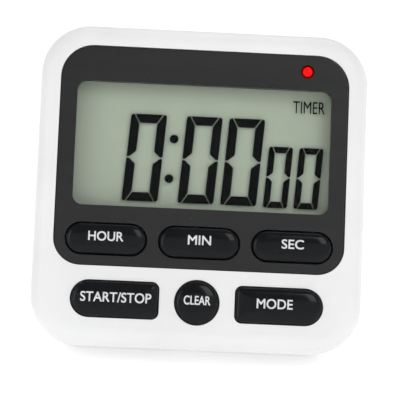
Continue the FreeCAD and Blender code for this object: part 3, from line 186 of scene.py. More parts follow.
class Value:
    """A number in a material; arithmetic on it adds Math nodes."""

    def __init__(self, paint, socket):
        self.paint = paint
        self.socket = socket

    def maths(self, operation, *others):
        """A Math node that works on this value and the others."""
        return self.paint.node("ShaderNodeMath", {"operation": operation}, dict(enumerate((self, *others))))

    def __add__(self, other):
        return self.maths("ADD", other)

    def __sub__(self, other):
        return self.maths("SUBTRACT", other)

    def __rsub__(self, other):
        return self.paint.node("ShaderNodeMath", {"operation": "SUBTRACT"}, {0: other, 1: self})

    def __mul__(self, other):
        return self.maths("MULTIPLY", other)

    __radd__ = __add__
    __rmul__ = __mul__

    def above(self, limit):
        return self.maths("GREATER_THAN", limit)

    def below(self, limit):
        return self.maths("LESS_THAN", limit)

    def ramp(self, low, high, to_low=0.0, to_high=1.0):
        """The value carried from one range to another, held at the ends."""
        ends = {0: self, 1: low, 2: high, 3: to_low, 4: to_high}
        return self.paint.node("ShaderNodeMapRange", {"clamp": True}, ends)


class Paint:
    def __init__(self, name, **constant):
        self.material = bpy.data.materials.new(name)
        self.material.use_nodes = True
        self.tree = self.material.node_tree
        self.shader = self.tree.nodes["Principled BSDF"]
        for socket, amount in constant.items():
            self.shader.inputs[socket.replace("_", " ")].default_value = amount

    def node(self, kind, settings=None, inputs=None, output=0):
        """Adds a node: its settings first, then the values or links of its sockets, by name or number."""
        made = self.tree.nodes.new(kind)
        for name, setting in (settings or {}).items():
            setattr(made, name, setting)
        for key, amount in (inputs or {}).items():
            if isinstance(amount, Value):
                self.tree.links.new(amount.socket, made.inputs[key])
            else:
                made.inputs[key].default_value = amount
        return Value(self, made.outputs[output])

    def room(self):
        """The place in the room, in metres, as a vector."""
        return self.node("ShaderNodeTexCoord", output=3)

    def case(self):
        """The place on the timer in case millimetres, as a vector."""
        moved = self.node("ShaderNodeVectorMath", {"operation": "SUBTRACT"}, {0: self.room(), 1: CASE_ORIGIN})
        lean = math.atan2(UP[2], UP[1])
        turned = self.node("ShaderNodeMapping", None, {0: moved, 2: (-lean, 0.0, 0.0)})
        return self.node("ShaderNodeVectorMath", {"operation": "SCALE"}, {0: turned, 3: 1 / MM})

    def parts(self, place):
        """The three numbers of a vector."""
        split = self.node("ShaderNodeSeparateXYZ", None, {0: place})
        return [Value(self, output) for output in split.socket.node.outputs]

    def noise(self, place, size, detail=2.0, rough=0.5):
        """Soft noise whose blotches are about size across, in the units of the place."""
        ends = {"Vector": place, "Scale": 1 / size, "Detail": detail, "Roughness": rough}
        return self.node("ShaderNodeTexNoise", None, ends)

    def speckle(self, place, size, output=0):
        """The distance to the nearest of many scattered points, which lie about size apart."""
        return self.node("ShaderNodeTexVoronoi", None, {"Vector": place, "Scale": 1 / size}, output)

    def blend(self, mask, first, second):
        """One colour where the mask is 0, another where it is 1."""
        return self.node("ShaderNodeMix", {"data_type": "RGBA"}, {0: mask, 6: first, 7: second}, 2)

    def relief(self, height, depth, strength=1.0):
        """A bump whose height runs over depth metres."""
        return self.node("ShaderNodeBump", None, {"Height": height, "Distance": depth, "Strength": strength})

    def finish(self, **varying):
        """Joins what varies over the surface to the shader's sockets, and gives the finished material."""
        for socket, amount in varying.items():
            self.tree.links.new(amount.socket, self.shader.inputs[socket.replace("_", " ")])
        return self.material


def grey(level, warm=0.0):
    """A grey as linear light, a little warmer or cooler."""
    return (level * (1 + warm), level, level * (1 - warm), 1.0)


def moulded_white():
    """White plastic from a spark-eroded mould: a fine even grain, faint clouds of tone, slight handling."""
    paint = Paint("moulded_white", IOR=1.49, Coat_Roughness=0.3)
    place = paint.case()
    clouds = paint.noise(place, 22.0, 3.0)
    grain = paint.noise(place, 0.22, 2.0, 0.6)
    rubbed = paint.noise(place, 7.0, 4.0, 0.6)
    colour = paint.blend(clouds.ramp(0.35, 0.65), grey(0.80, 0.004), grey(0.84, -0.002))
    colour = paint.blend(grain.ramp(0.62, 0.80) * 0.25, colour, grey(0.72))
    roughness = rubbed.ramp(0.3, 0.7, 0.34, 0.46) + grain * 0.08
    return paint.finish(Base_Color=colour, Roughness=roughness, Normal=paint.relief(grain, 0.00003, 0.35))


def panel_black():
    """Black plastic with a fine satin: dust, faint sweeping wipe marks and a fine grain."""
    paint = Paint("panel_black", IOR=1.5, Specular_IOR_Level=0.38)
    place = paint.case()
    stretched = paint.node("ShaderNodeMapping", None, {0: place, 2: (0.0, 0.0, 0.35), 3: (0.06, 1.0, 1.0)})
    wipes = paint.noise(stretched, 3.0, 5.0, 0.7)
    grain = paint.noise(place, 0.16, 2.0, 0.5)
    dust = paint.speckle(place, 1.7).below(0.05)
    black, worn = (0.0075, 0.0077, 0.0086, 1.0), (0.0110, 0.0112, 0.0122, 1.0)
    colour = paint.blend(wipes.ramp(0.3, 0.75), black, worn)
    colour = paint.blend(dust * 0.35, colour, grey(0.25))
    roughness = wipes.ramp(0.3, 0.7, 0.24, 0.36) + grain * 0.05
    return paint.finish(Base_Color=colour, Roughness=roughness, Normal=paint.relief(grain, 0.00002, 0.2))


def button_black():
    """Glossy black plastic, with a little orange peel and the dull patches that fingertips leave."""
    paint = Paint("button_black", IOR=1.5, Specular_IOR_Level=0.14, Coat_Weight=0.12, Coat_Roughness=0.06)
    place = paint.case()
    peel = paint.noise(place, 1.1, 1.0)
    touched = paint.noise(place, 3.4, 4.0, 0.65)
    clean, fingered = (0.0022, 0.0027, 0.0040, 1.0), (0.0042, 0.0049, 0.0068, 1.0)
    colour = paint.blend(touched.ramp(0.35, 0.7), clean, fingered)
    roughness = touched.ramp(0.35, 0.75, 0.13, 0.24)
    return paint.finish(Base_Color=colour, Roughness=roughness, Normal=paint.relief(peel, 0.00004, 0.12))


def printed_ink(name, level):
    """Pad-printed ink: even, with tiny pinholes and a matt skin."""
    paint = Paint(name, IOR=1.45)
    place = paint.case()
    holes = paint.noise(place, 0.12, 2.0).ramp(0.66, 0.74)
    fade = paint.noise(place, 1.6, 3.0).ramp(0.3, 0.7)
    colour = paint.blend(fade, grey(level), grey(level * 0.86, -0.03))
    colour = paint.blend(holes * 0.4, colour, grey(level * 0.4))
    return paint.finish(Base_Color=colour, Roughness=fade.ramp(0.0, 1.0, 0.42, 0.55))


def display_film():
    """The display's grey-green reflector: fine sparkle and a faint drift of tone across it."""
    paint = Paint("display_film", IOR=1.3, Specular_IOR_Level=0.2)
    place = paint.case()
    right, up, _ = paint.parts(place)
    drift = (up * 0.010 + right * -0.002 + paint.noise(place, 30.0) * 0.5).ramp(-0.1, 0.8)
    sparkle = paint.noise(place, 0.14, 1.0)
    colour = paint.blend(drift, (0.43, 0.48, 0.40, 1.0), (0.47, 0.52, 0.43, 1.0))
    colour = paint.blend(sparkle.ramp(0.5, 0.8) * 0.2, colour, (0.56, 0.60, 0.52, 1.0))
    return paint.finish(Base_Color=colour, Roughness=sparkle.ramp(0.2, 0.8, 0.55, 0.75))


def see_through(name, tint, rough, reflect):
    """A clear sheet with a soft coating: it lets the light by, a little tinted, and mirrors more edge-on."""
    paint = Paint(name)
    paint.tree.nodes.remove(paint.shader)
    smear = paint.noise(paint.case(), 9.0, 5.0, 0.6)
    clear = paint.node("ShaderNodeBsdfTransparent", None, {0: tint})
    mirror = paint.node("ShaderNodeBsdfGlossy", None, {"Color": (1.0, 1.0, 1.0, 1.0), "Roughness": rough})
    glancing = paint.node("ShaderNodeLayerWeight", None, {"Blend": 0.5}, 1).maths("POWER", 5.0)
    share = glancing * 0.35 + reflect
    share = share * smear.ramp(0.2, 0.8, 0.94, 1.06)
    mixed = paint.node("ShaderNodeMixShader", None, {0: share, 1: clear, 2: mirror})
    paint.tree.links.new(mixed.socket, paint.tree.nodes["Material Output"].inputs["Surface"])
    return paint.material


def segment_ink():
    """A driven display segment: near black, slightly green, a shade softer where the cell is thin."""
    paint = Paint("segment_ink", IOR=1.4, Specular_IOR_Level=0.02)
    thin = paint.noise(paint.case(), 4.0, 2.0).ramp(0.3, 0.7)
    colour = paint.blend(thin, (0.0008, 0.0014, 0.0014, 1.0), (0.0018, 0.0026, 0.0026, 1.0))
    return paint.finish(Base_Color=colour, Roughness=thin.ramp(0.0, 1.0, 0.45, 0.55))


def lamp_red():
    """The lit lamp: red resin that glows most in its middle and darkens towards its edge."""
    paint = Paint("lamp_red", IOR=1.5, Roughness=0.2, Specular_IOR_Level=0.15, Emission_Strength=0.85)
    right, up, _ = paint.parts(paint.case())
    low, high = case_extent("alarm_led")
    middle = (low + high) / 2
    across, along = right - float(middle[0]), up - float(middle[1])
    reach = (across * across + along * along).maths("SQRT")
    core = reach.ramp(1.45, 0.75)
    colour = paint.blend(core, (0.10, 0.0, 0.0, 1.0), (0.5, 0.0, 0.0, 1.0))
    glow = paint.blend(core, (0.05, 0.0, 0.0, 1.0), (1.0, 0.0, 0.0, 1.0))
    return paint.finish(Base_Color=colour, Emission_Color=glow)


def metal(name, tone, rough, size=2.5):
    """Plated or rolled metal: fine drawn lines, small dull patches and a faint tarnish."""
    paint = Paint(name, Metallic=1.0)
    place = paint.case()
    drawn = paint.node("ShaderNodeMapping", None, {0: place, 3: (1.0, 0.08, 1.0)})
    lines = paint.noise(drawn, 0.12, 3.0, 0.7)
    tarnish = paint.noise(place, size, 4.0).ramp(0.4, 0.75)
    dull = tuple(0.62 * level for level in tone) + (1.0,)
    colour = paint.blend(tarnish, tuple(tone) + (1.0,), dull)
    roughness = lines.ramp(0.2, 0.8, rough, rough + 0.16) + tarnish * 0.12
    return paint.finish(Base_Color=colour, Roughness=roughness, Normal=paint.relief(lines, 0.00001, 0.3))


def moulded_dark(name, level, rough=0.5, grain_size=0.3):
    """Dark moulded epoxy, rubber or ferrite: a fine grain and uneven dust."""
    paint = Paint(name, IOR=1.5)
    place = paint.case()
    grain = paint.noise(place, grain_size, 3.0, 0.6)
    dust = paint.noise(place, 4.0, 4.0).ramp(0.5, 0.8)
    colour = paint.blend(grain.ramp(0.3, 0.75), grey(level), grey(level * 1.5, 0.02))
    colour = paint.blend(dust * 0.3, colour, grey(level * 2.5 + 0.02))
    roughness = grain.ramp(0.2, 0.8, rough - 0.08, rough + 0.1)
    return paint.finish(Base_Color=colour, Roughness=roughness, Normal=paint.relief(grain, 0.00004, 0.4))


def soft_colour(name, tone, rough=0.45, grain_size=0.4):
    """A coloured moulding, jacket or coat: slight clouds of tone and a faint waviness."""
    paint = Paint(name, IOR=1.5)
    place = paint.case()
    cloud = paint.noise(place, 3.0, 4.0).ramp(0.3, 0.7)
    wave = paint.noise(place, grain_size, 2.0)
    darker = tuple(0.72 * level for level in tone) + (1.0,)
    colour = paint.blend(cloud, tuple(tone) + (1.0,), darker)
    roughness = wave.ramp(0.2, 0.8, rough - 0.08, rough + 0.08)
    return paint.finish(Base_Color=colour, Roughness=roughness, Normal=paint.relief(wave, 0.00003, 0.3))


def board_green():
    """Green solder mask over copper: square-ended tracks show as paler, raised lines, with tinned pads."""
    paint = Paint("board_green", IOR=1.5)
    place = paint.case()
    bricks = {"Vector": place, "Scale": 0.42, "Mortar Size": 0.06, "Brick Width": 1.7, "Row Height": 0.42}
    tracks = paint.node("ShaderNodeTexBrick", {"offset": 0.37, "squash": 0.7}, bricks, 1)
    pads = paint.speckle(place, 2.6).below(0.16)
    weave = paint.noise(place, 0.5, 2.0)
    colour = paint.blend(tracks, (0.006, 0.085, 0.03, 1.0), (0.02, 0.17, 0.06, 1.0))
    colour = paint.blend(weave.ramp(0.4, 0.8) * 0.3, colour, (0.004, 0.05, 0.02, 1.0))
    colour = paint.blend(pads, colour, (0.62, 0.60, 0.55, 1.0))
    roughness = weave.ramp(0.2, 0.8, 0.28, 0.4)
    return paint.finish(Base_Color=colour, Roughness=roughness, Metallic=pads * 0.9,
                        Normal=paint.relief(tracks + pads, 0.00005, 0.5))


def cell_jacket():
    """A printed cell: a dark body with a copper-coloured band at its nub end, and bare steel at both ends."""
    paint = Paint("cell_jacket", IOR=1.5)
    place = paint.case()
    right, up, _ = paint.parts(place)
    low, high = case_extent("battery_cell_1")
    low_other, high_other = case_extent("battery_cell_2")
    left_cell = right.below(0.0)
    from_nub = left_cell * (float(high[1]) - up) + (1.0 - left_cell) * (up - float(low_other[1]))
    band = from_nub.below(14.0)
    ends = from_nub.below(1.7) + from_nub.above(float(high[1] - low[1]) - 0.6)
    scuffs = paint.noise(place, 1.5, 5.0, 0.7).ramp(0.55, 0.75)
    colour = paint.blend(band, grey(0.018), (0.42, 0.17, 0.05, 1.0))
    colour = paint.blend(scuffs * 0.3, colour, grey(0.20))
    colour = paint.blend(ends, colour, grey(0.55))
    metallic = (band * 0.8).maths("MAXIMUM", ends)
    roughness = scuffs.ramp(0.0, 1.0, 0.26, 0.45)
    return paint.finish(Base_Color=colour, Roughness=roughness, Metallic=metallic)


def studio_floor():
    """Pale seamless paper, with a hardly visible tooth."""
    paint = Paint("studio_floor", IOR=1.3, Emission_Strength=0.34)
    paint.shader.inputs["Emission Color"].default_value = (1.0, 1.0, 1.0, 1.0)
    paint.material.cycles.emission_sampling = "NONE"
    tooth = paint.noise(paint.room(), 0.0015, 2.0)
    colour = paint.blend(tooth.ramp(0.3, 0.7), grey(0.86), grey(0.88))
    return paint.finish(Base_Color=colour, Roughness=tooth.ramp(0.3, 0.7, 0.8, 0.9))


WHITE = moulded_white()
PANEL = panel_black()
BUTTON = button_black()
PRINT = printed_ink("white_print", 0.78)
FILM = display_film()
LENS = see_through("clear_lens", (0.985, 0.99, 0.985, 1.0), 0.12, 0.004)
GLASS = see_through("clear_glass", (0.99, 0.995, 0.99, 1.0), 0.10, 0.001)
INK = segment_ink()
LAMP = lamp_red()
STEEL = metal("plated_steel", (0.62, 0.61, 0.59), 0.22)
BRASS = metal("rolled_brass", (0.66, 0.45, 0.16), 0.25)
RUBBER = moulded_dark("key_rubber", 0.11, 0.6)
CARBON = moulded_dark("carbon_pill", 0.01, 0.65)
EPOXY = moulded_dark("black_epoxy", 0.012, 0.4)
FOAM = moulded_dark("foam_tape", 0.02, 0.85, 0.5)
FERRITE = moulded_dark("magnet_ferrite", 0.035, 0.42, 0.35)
SILICONE = soft_colour("pink_silicone", (0.62, 0.30, 0.30))
CERAMIC = soft_colour("pale_ceramic", (0.52, 0.44, 0.33))
RED_VINYL = soft_colour("red_vinyl", (0.55, 0.02, 0.015), 0.4)
BLACK_VINYL = moulded_dark("black_vinyl", 0.012, 0.4)
BOARD = board_green()
JACKET = cell_jacket()

NODE_MATERIALS = {
    "front_case": WHITE, "rear_case": WHITE, "battery_door": WHITE, "kickstand": WHITE, "lcd_holder": WHITE,
    "face_panel": PANEL, "display_lens": LENS, "lens_tape": FOAM, "lcd_front_polariser": GLASS,
    "lcd_front_glass": GLASS, "lcd_rear_glass": GLASS, "lcd_rear_polariser": FILM, "zebra_strip": SILICONE,
    "key_mat": RUBBER, "circuit_board": BOARD, "chip_blob": EPOXY,
    "crystal_can": STEEL, "smd_resistors": EPOXY, "smd_capacitors": CERAMIC, "electrolytic_capacitor": EPOXY,
    "drive_transistor": EPOXY, "buzzer_inductor": FERRITE, "alarm_led": LAMP, "led_leads": STEEL,
    "board_screws": STEEL, "case_screws": STEEL, "piezo_plate": BRASS, "piezo_ceramic": CERAMIC,
    "buzzer_wire_red": RED_VINYL, "buzzer_wire_black": BLACK_VINYL, "battery_cell_1": JACKET,
    "battery_cell_2": JACKET, "positive_contact": STEEL, "magnet_left": FERRITE, "magnet_right": FERRITE,
    "alarm_switch_body": EPOXY, "alarm_switch_knob": BUTTON,
}
NODE_MATERIALS.update({node: CARBON for node in frame["nodes"] if node.endswith("_contact_pill")})
for node, material in NODE_MATERIALS.items():
    for material_slot in frame["nodes"][node].material_slots:
        material_slot.material = material

# ------------------------------------------------------------------------------------------------------------
# Buttons: pillow-topped caps
# ------------------------------------------------------------------------------------------------------------

KEY_GAP = 0.3
CROWN, PILLOW = 1.45, 2.5
SKIRT_RISE = 1.4
UPPER_KEYS_UP, UPPER_PITCH = -13.5, 22.45
UPPER_HALF_LENGTH, UPPER_HALF_HEIGHT = 9.95, 4.0
LOWER_KEYS_UP, LOWER_PITCH = -27.9, 19.77
LOWER_HALF_LENGTH, LOWER_HALF_HEIGHT, LOWER_CORNER = 10.7, 4.55, 1.8
CLEAR_RADIUS = 5.5


def bar_arcs(half_length, half_height, corner):
    """A bar with a round right end; its left end has small corners, or is round if there is no corner."""
    right_end = (half_length - half_height, 0.0, half_height, -90.0, 90.0)
    if corner is None:
        return [right_end, (half_height - half_length, 0.0, half_height, 90.0, 270.0)]
    x, y = corner - half_length, half_height - corner
    return [right_end, (x, y, corner, 90.0, 180.0), (x, -y, corner, 180.0, 270.0)]


class Cap:
    """A button's top: its outline shrinks inwards while its height follows a superellipse up to the crown."""

    def __init__(self, right, up, half_length, half_height, corner, top, turned=False):
        self.right, self.up, self.top = right, up, top
        self.half_length, self.half_height, self.corner = half_length, half_height, corner
        self.side = -1.0 if turned else 1.0

    def outline(self, inset):
        """The outline moved inwards by an inset, its corners' radii less by as much."""
        corner = None if self.corner is None else max(self.corner - inset, 0.0)
        half_height = max(self.half_height - inset, 0.0)
        points = arc_outline(bar_arcs(self.half_length - inset, half_height, corner))
        return points * self.side + [self.right, self.up]

    def height(self, inset):
        """The drop from the crown at an inset from the outline."""
        share = np.clip(1 - np.asarray(inset) / self.half_height, 0.0, 1.0)
        return self.top - CROWN * (1 - (1 - share ** PILLOW) ** (1 / PILLOW))

    def height_at(self, points):
        """The cap's height over case points (right, up), from how far inside the outline they are."""
        x = (points[:, 0] - self.right) * self.side
        y = np.abs(points[:, 1] - self.up)
        core = self.half_length - self.half_height
        beyond = np.maximum(x - core, 0.0)
        if self.corner is None:
            beyond = np.maximum(np.abs(x) - core, 0.0)
        inset = self.half_height - np.hypot(beyond, y)
        if self.corner is not None:
            inset = np.minimum(inset, x + self.half_length)
        return self.height(inset)


def make_cap(node, cap):
    """The cap with its straight skirt and a flat underside, closed to its middle line below and above."""
    foot = case_extent(node)[0][2] + SKIRT_RISE
    insets = cap.half_height * (1 - np.cos(np.linspace(0, np.pi / 2, 22)))
    levels = [(cap.half_height, foot), (0.0, foot), (0.0, cap.top - CROWN - 0.02)]
    levels += list(zip(insets, cap.height(insets)))
    rings = [np.column_stack([cap.outline(inset), np.full(len(cap.outline(inset)), level)])
             for inset, level in levels]
    made = new_object(node + "_cap", skin(node + "_cap", np.array(rings)), BUTTON, node, 55.0)
    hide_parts(node)


def make_caps():
    """All six buttons: three alike in the panel, and two with one round end and a round one below it."""
    upper_top = case_extent("hour_button")[1][2]
    lower_top = case_extent("clear_button")[1][2]
    upper = {"hour_button": -UPPER_PITCH, "minute_button": 0.0, "second_button": UPPER_PITCH}
    sizes = (UPPER_HALF_LENGTH - KEY_GAP, UPPER_HALF_HEIGHT - KEY_GAP, None, upper_top)
    caps = {name: Cap(right, UPPER_KEYS_UP, *sizes) for name, right in upper.items()}
    sizes = (LOWER_HALF_LENGTH - KEY_GAP, LOWER_HALF_HEIGHT - KEY_GAP, LOWER_CORNER - KEY_GAP, lower_top)
    caps["start_stop_button"] = Cap(-LOWER_PITCH, LOWER_KEYS_UP, *sizes, turned=True)
    caps["mode_button"] = Cap(LOWER_PITCH, LOWER_KEYS_UP, *sizes)
    sizes = (CLEAR_RADIUS - KEY_GAP, CLEAR_RADIUS - KEY_GAP, None, lower_top)
    caps["clear_button"] = Cap(0.0, LOWER_KEYS_UP, *sizes)
    for name, cap in caps.items():
        make_cap(name, cap)
    return caps


CAPS = make_caps()

# ------------------------------------------------------------------------------------------------------------
# Printed words and the display's segments
# ------------------------------------------------------------------------------------------------------------


LETTER_CUTS = (0.6, 0.2)
INK_SKIN, INK_STEP = 0.03, 0.003


def letters(text, middle, width, height):
    """The words as a flat mesh in case millimetres, fitted to a width and a capital height about a middle.

    The mesh is cut along a fine grid, so that it can follow a crowned surface without sinking into it.
    """
    curve = bpy.data.curves.new(text, "FONT")
    curve.body = text
    curve.resolution_u = 6
    shown = bpy.data.objects.new(text, curve)
    bpy.context.scene.collection.objects.link(shown)
    bpy.context.view_layer.update()
    mesh = bpy.data.meshes.new_from_object(shown)
    bpy.data.objects.remove(shown)
    flat = coordinates(mesh)
    low, high = flat.min(axis=0), flat.max(axis=0)
    flat[:, :2] = (flat - (low + high) / 2)[:, :2] / (high - low)[:2] * [width, height] + middle
    mesh.vertices.foreach_set("co", flat.ravel())
    work = bmesh.new()
    work.from_mesh(mesh)
    for normal, centre, spacing, span in zip(((1, 0, 0), (0, 1, 0)), middle, LETTER_CUTS, (width, height)):
        for place in np.arange(centre - span / 2 + spacing / 2, centre + span / 2, spacing):
            everything = work.verts[:] + work.edges[:] + work.faces[:]
            on_plane = [place * n for n in normal]
            bmesh.ops.bisect_plane(work, geom=everything, dist=1e-5, plane_co=on_plane, plane_no=normal)
    work.to_mesh(mesh)
    work.free()
    return mesh, coordinates(mesh)[:, :2]


def print_on(name, text, middle, width, height, level_at, body, material, bold=0.0):
    """Printed words: each point of the flat letters is lifted onto the surface, with a thin skin of ink.

    Bold words are five prints of the same letters, one in the middle and four that are shifted towards the
    corners, each a hair higher than the last.
    """
    prints = []
    shifts = [(0, 0), (1, 1), (-1, 1), (-1, -1), (1, -1)] if bold else [(0, 0)]
    for layer, (across, along) in enumerate(shifts):
        mesh, flat = letters(text, middle, width - 2 * bold, height - 2 * bold)
        flat = flat + [bold * across, bold * along]
        placed = np.column_stack([flat, level_at(flat) + INK_STEP * layer])
        mesh.vertices.foreach_set("co", in_room(placed).ravel())
        mesh.materials.clear()
        prints.append(merged(mesh))
    made = new_object(name, joined(name, prints), material, body)
    skin_of_ink = made.modifiers.new("ink", "SOLIDIFY")
    skin_of_ink.thickness = INK_SKIN * MM
    skin_of_ink.offset = 0.0


# Each word with its middle (right, up), its width and its capitals' height.
KEY_WORDS = {
    "hour_button": ("HOUR", -22.5, -12.93, 8.45, 2.3),
    "minute_button": ("MIN", 0.0, -12.93, 5.6, 2.3),
    "second_button": ("SEC", 22.5, -12.93, 5.4, 2.3),
    "start_stop_button": ("START/STOP", -19.45, -27.5, 17.0, 2.4),
    "clear_button": ("CLEAR", 0.0, -27.4, 6.4, 2.2),
    "mode_button": ("MODE", 18.65, -27.5, 8.7, 2.4),
}
for key, (text, right, up, width, height) in KEY_WORDS.items():
    lifted = lambda flat, cap=CAPS[key]: cap.height_at(flat) + 0.02
    print_on(key + "_word", text, [right, up], width, height, lifted, key, PRINT, 0.045)

SLANT = math.tan(math.radians(4.1))
TALL = {"width": 8.75, "height": 21.45, "thick": 2.2, "level_thick": 2.2, "gap": 0.38}
SMALL = {"width": 5.9, "height": 15.1, "thick": 1.55, "level_thick": 1.55, "gap": 0.32}
INK_HALF_DEPTH = 0.02
CORNER_CUT, CORNER_RADIUS = 0.62, 0.75
COLON_RADIUS = 1.07
GLASS_CORNER, CELL_LIFT = 0.2, 0.05


def rounded_corner(outer, first_goal, last_goal):
    """A quadratic curve round an outer corner: it starts and ends a radius away, towards the two goals."""
    outer = np.array(outer, dtype=float)
    ways = [np.array(goal) - outer for goal in (first_goal, last_goal)]
    enter, leave = [outer + CORNER_RADIUS * way / np.linalg.norm(way) for way in ways]
    t = np.linspace(0, 1, 5)[:, None]
    return ((1 - t) ** 2 * enter + 2 * t * (1 - t) * outer + t ** 2 * leave).tolist()


def segment_outlines(width, height, thick, level_thick, gap):
    """The six lit bars of a nought, as outlines about its lower left corner, before the slant.

    The nought is a frame with rounded corners. Slanting cuts part its level bars from its upright ones, and
    at mid height a wedge opens inwards between the two upright bars of each side.
    """
    t, b, g, cut, middle = thick, level_thick, gap / 2, CORNER_CUT, height / 2
    top = [(cut + 2 * g, height), (width - cut - 2 * g, height), (width - t - g, height - b + g * 0.2),
           (width - t - 2.2 * g, height - b), (t + 2.2 * g, height - b), (t + g, height - b + g * 0.2)]
    left = rounded_corner((0.0, height), (cut, height), (0.0, height - cut))
    left += [(0.0, middle + g), (t * 0.3, middle + g), (t, middle + t * 0.72), (t, height - b - 1.4 * g)]
    flip_up = lambda shape: [(x, height - y) for x, y in shape][::-1]
    flip_across = lambda shape: [(width - x, y) for x, y in shape][::-1]
    uprights = [left, flip_up(left), flip_across(left), flip_across(flip_up(left))]
    return [np.array(shape, dtype=float) for shape in [top, flip_up(top)] + uprights]


def ink_plate(name, outline):
    """A thin plate of driven crystal over an outline."""
    return prism(name, outline, INK_LEVEL - INK_HALF_DEPTH, INK_LEVEL + INK_HALF_DEPTH)


def digit(name, left, low, **sizes):
    """A slanted nought: each point of its bars moves right in proportion to its height."""
    plates = []
    for outline in segment_outlines(**sizes):
        outline[:, 0] += outline[:, 1] * SLANT
        plates.append(ink_plate(name, outline + [left, low]))
    return joined(name, plates)


def rounded_rectangle(low, high, corner):
    """The outline of a rectangle between two opposite corners, with its own corners rounded."""
    (x_low, y_low), (x_high, y_high) = np.add(low, corner), np.subtract(high, corner)
    return arc_outline([(x_high, y_low, corner, -90, 0), (x_high, y_high, corner, 0, 90),
                        (x_low, y_high, corner, 90, 180), (x_low, y_low, corner, 180, 270)])


def make_display_cell():
    """The display's bonded glass as one clear block: the short rear glass, the front glass, its polariser.

    The block stands a hair off the film under it, so that the two never share a plane.
    """
    steps = []
    for node in ("lcd_rear_glass", "lcd_front_glass", "lcd_front_polariser"):
        low, high = case_extent(node)
        outline = rounded_rectangle(low[:2], high[:2], GLASS_CORNER)
        steps += [np.column_stack([outline, np.full(len(outline), level)]) for level in (low[2], high[2])]
    steps[0][:, 2] += CELL_LIFT
    back, front = [np.broadcast_to(step.mean(axis=0), step.shape) for step in (steps[0], steps[-1])]
    mesh = skin("display_cell", np.array([back, *steps, front]))
    made = new_object("display_cell", mesh, GLASS, "timer_body")
    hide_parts("lcd_front_polariser", "lcd_front_glass", "lcd_rear_glass")


make_display_cell()


def make_segments():
    """The time 0:00 in tall digits with its colon, and 00 seconds in small ones."""
    tall_low, small_low = PANEL_CENTRE_UP - 10.42, PANEL_CENTRE_UP - 10.62
    meshes = [digit(f"hours_{n}", left, tall_low, **TALL) for n, left in enumerate((-19.2, -5.57, 4.87))]
    meshes += [digit(f"seconds_{n}", left, small_low, **SMALL) for n, left in enumerate((15.3, 22.76))]
    angle = np.linspace(0, 2 * np.pi, 32, endpoint=False)
    round_dot = COLON_RADIUS * np.column_stack([np.cos(angle), np.sin(angle)])
    meshes += [ink_plate("colon", round_dot + [right, PANEL_CENTRE_UP + up])
               for right, up in ((-7.0, 5.2), (-7.85, -4.6))]
    made = new_object("display_digits", joined("display_digits", meshes), INK, "timer_body")


make_segments()
print_on("display_word", "TIMER", [25.8, PANEL_CENTRE_UP + 14.5], 7.85, 3.0,
         lambda flat: np.full(len(flat), INK_LEVEL), "timer_body", INK)

# ------------------------------------------------------------------------------------------------------------
# Battery contacts
# ------------------------------------------------------------------------------------------------------------

CELL_RIGHT = 5.6
WIRE_RADIUS = 0.4
PLATE_THICK, PLATE_CORNER, PLATE_HEIGHT = 0.4, 1.0, 9.4


def coil_line(right, plate_up, cell_up, level, turns=4.5, wide=3.3, narrow=2.5):
    """The middle line of a tapering coil with flat ends, from its plate to a cell's end."""
    t = np.linspace(0, 1, int(turns * 28))
    angle = 2 * np.pi * turns * t
    radius = wide + (narrow - wide) * t
    rise = np.clip((t - 0.12) / 0.76, 0, 1)
    up = plate_up + (cell_up - plate_up) * rise
    return np.column_stack([right + radius * np.cos(angle), up, level + radius * np.sin(angle)])


def make_spring(node, cell, side, way):
    """A contact plate with its coil: a thin sheet with rounded corners, and wire wound towards a cell's end.

    The side is -1 for the left cell or 1 for the right one, and the way is -1 for a coil that runs down the
    case or 1 for one that runs up it.
    """
    low, high = case_extent(node)
    cell_low, cell_high = case_extent(cell)
    plate_up = high[1] - PLATE_THICK if way < 0 else low[1] + PLATE_THICK
    cell_up = cell_high[1] if way < 0 else cell_low[1]
    coil_ends = plate_up + way * WIRE_RADIUS, cell_up - way * WIRE_RADIUS
    line = coil_line(side * CELL_RIGHT, *coil_ends, (cell_low[2] + cell_high[2]) / 2)
    top = high[1] if way < 0 else plate_up
    outer = case_extent("positive_contact")[0][2] + PLATE_HEIGHT
    outline = rounded_rectangle((low[0], low[2]), (high[0], outer), PLATE_CORNER)
    centre = outline.mean(axis=0)
    rings = []
    for reach, level in ((0.0, top - PLATE_THICK), (1.0, top - PLATE_THICK), (1.0, top), (0.0, top)):
        right, out = (centre + reach * (outline - centre)).T
        rings.append(np.column_stack([right, np.full(len(right), level), out]))
    meshes = [skin(node, np.array(rings)), tube(node, line, WIRE_RADIUS, 10)]
    made = new_object(node + "_wound", joined(node, meshes), STEEL, "timer_body")
    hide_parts(node)


make_spring("negative_contact_spring", "battery_cell_2", 1, -1)
make_spring("bridge_contact", "battery_cell_1", -1, 1)

# ------------------------------------------------------------------------------------------------------------
# The studio: pale floor, soft light and camera
# ------------------------------------------------------------------------------------------------------------


CAMERA_TURN = (6.383, -2.542, 2.321)
CAMERA_AIM = (-0.22, PANEL_CENTRE_UP - 9.91, PANEL_FACE)
CAMERA_REACH = 432.7


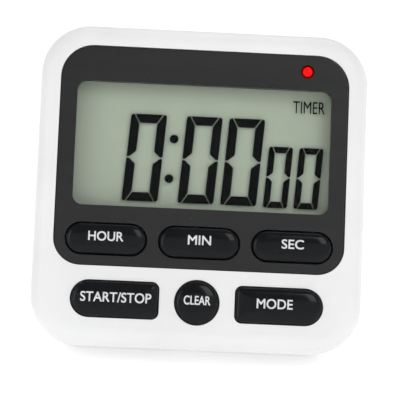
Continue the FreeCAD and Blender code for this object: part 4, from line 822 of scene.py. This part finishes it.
def make_floor():
    """A wide round floor that sweeps up smoothly at its rim, like a bowl."""
    flat, rim, rise = 0.9, 2.2, 1.4
    reach = np.concatenate([np.linspace(0.0, flat, 12), np.linspace(flat, rim, 26)[1:]])
    height = rise * np.clip((reach - flat) / (rim - flat), 0, 1) ** 2
    angle = np.linspace(0, 2 * np.pi, 96, endpoint=False)
    rings = np.stack([reach[:, None] * np.cos(angle), reach[:, None] * np.sin(angle),
                      np.repeat(height[:, None], len(angle), axis=1)], axis=-1)
    index = np.arange(len(reach) * len(angle)).reshape(len(reach), len(angle))
    following = np.roll(index, -1, axis=1)
    quads = np.stack([index[:-1], index[1:], following[1:], following[:-1]], axis=-1).reshape(-1, 4)
    mesh = bpy.data.meshes.new("studio_floor")
    mesh.from_pydata(rings.reshape(-1, 3).tolist(), [], quads.tolist())
    floor = new_object("studio_floor", mesh, studio_floor(), sharp=180.0)


def make_light(name, place, size, power, target=(0.0, 0.0, 0.04)):
    """A soft square lamp at a place, aimed at the timer."""
    lamp = bpy.data.lights.new(name, "AREA")
    lamp.shape = "RECTANGLE"
    lamp.size, lamp.size_y = size
    lamp.energy = power
    holder = bpy.data.objects.new(name, lamp)
    bpy.context.scene.collection.objects.link(holder)
    holder.location = place
    holder.rotation_euler = (Vector(target) - Vector(place)).to_track_quat("-Z", "Y").to_euler()


def make_camera():
    """A long lens a little below and to the left of the face's own axis, rolled to lean the timer over."""
    camera = bpy.data.cameras.new("camera")
    camera.lens, camera.sensor_width = 161.2, 36.0
    camera.clip_start, camera.clip_end = 0.01, 20.0
    holder = bpy.data.objects.new("camera", camera)
    bpy.context.scene.collection.objects.link(holder)
    turn = Matrix(AXES.T.tolist()) @ Euler([math.radians(angle) for angle in CAMERA_TURN]).to_matrix()
    place = Vector(in_room(CAMERA_AIM)) + turn.col[2] * CAMERA_REACH * MM
    holder.matrix_world = Matrix.Translation(place) @ turn.to_4x4()
    bpy.context.scene.camera = holder


def make_world():
    """An even white surrounding, with colours shown as they are."""
    world = bpy.data.worlds.new("studio")
    world.use_nodes = True
    world.node_tree.nodes["Background"].inputs["Color"].default_value = (1.0, 1.0, 1.0, 1.0)
    world.node_tree.nodes["Background"].inputs["Strength"].default_value = 0.42
    bpy.context.scene.world = world
    bpy.context.scene.view_settings.view_transform = "Standard"


make_floor()
make_light("key_light", (0.5, -0.75, 0.95), (0.6, 0.6), 3.4)
make_light("top_light", (0.1, 0.45, 0.95), (0.8, 0.6), 2.6)
make_light("left_light", (-0.85, -0.55, 0.45), (0.2, 0.8), 1.3)
make_camera()
make_world()
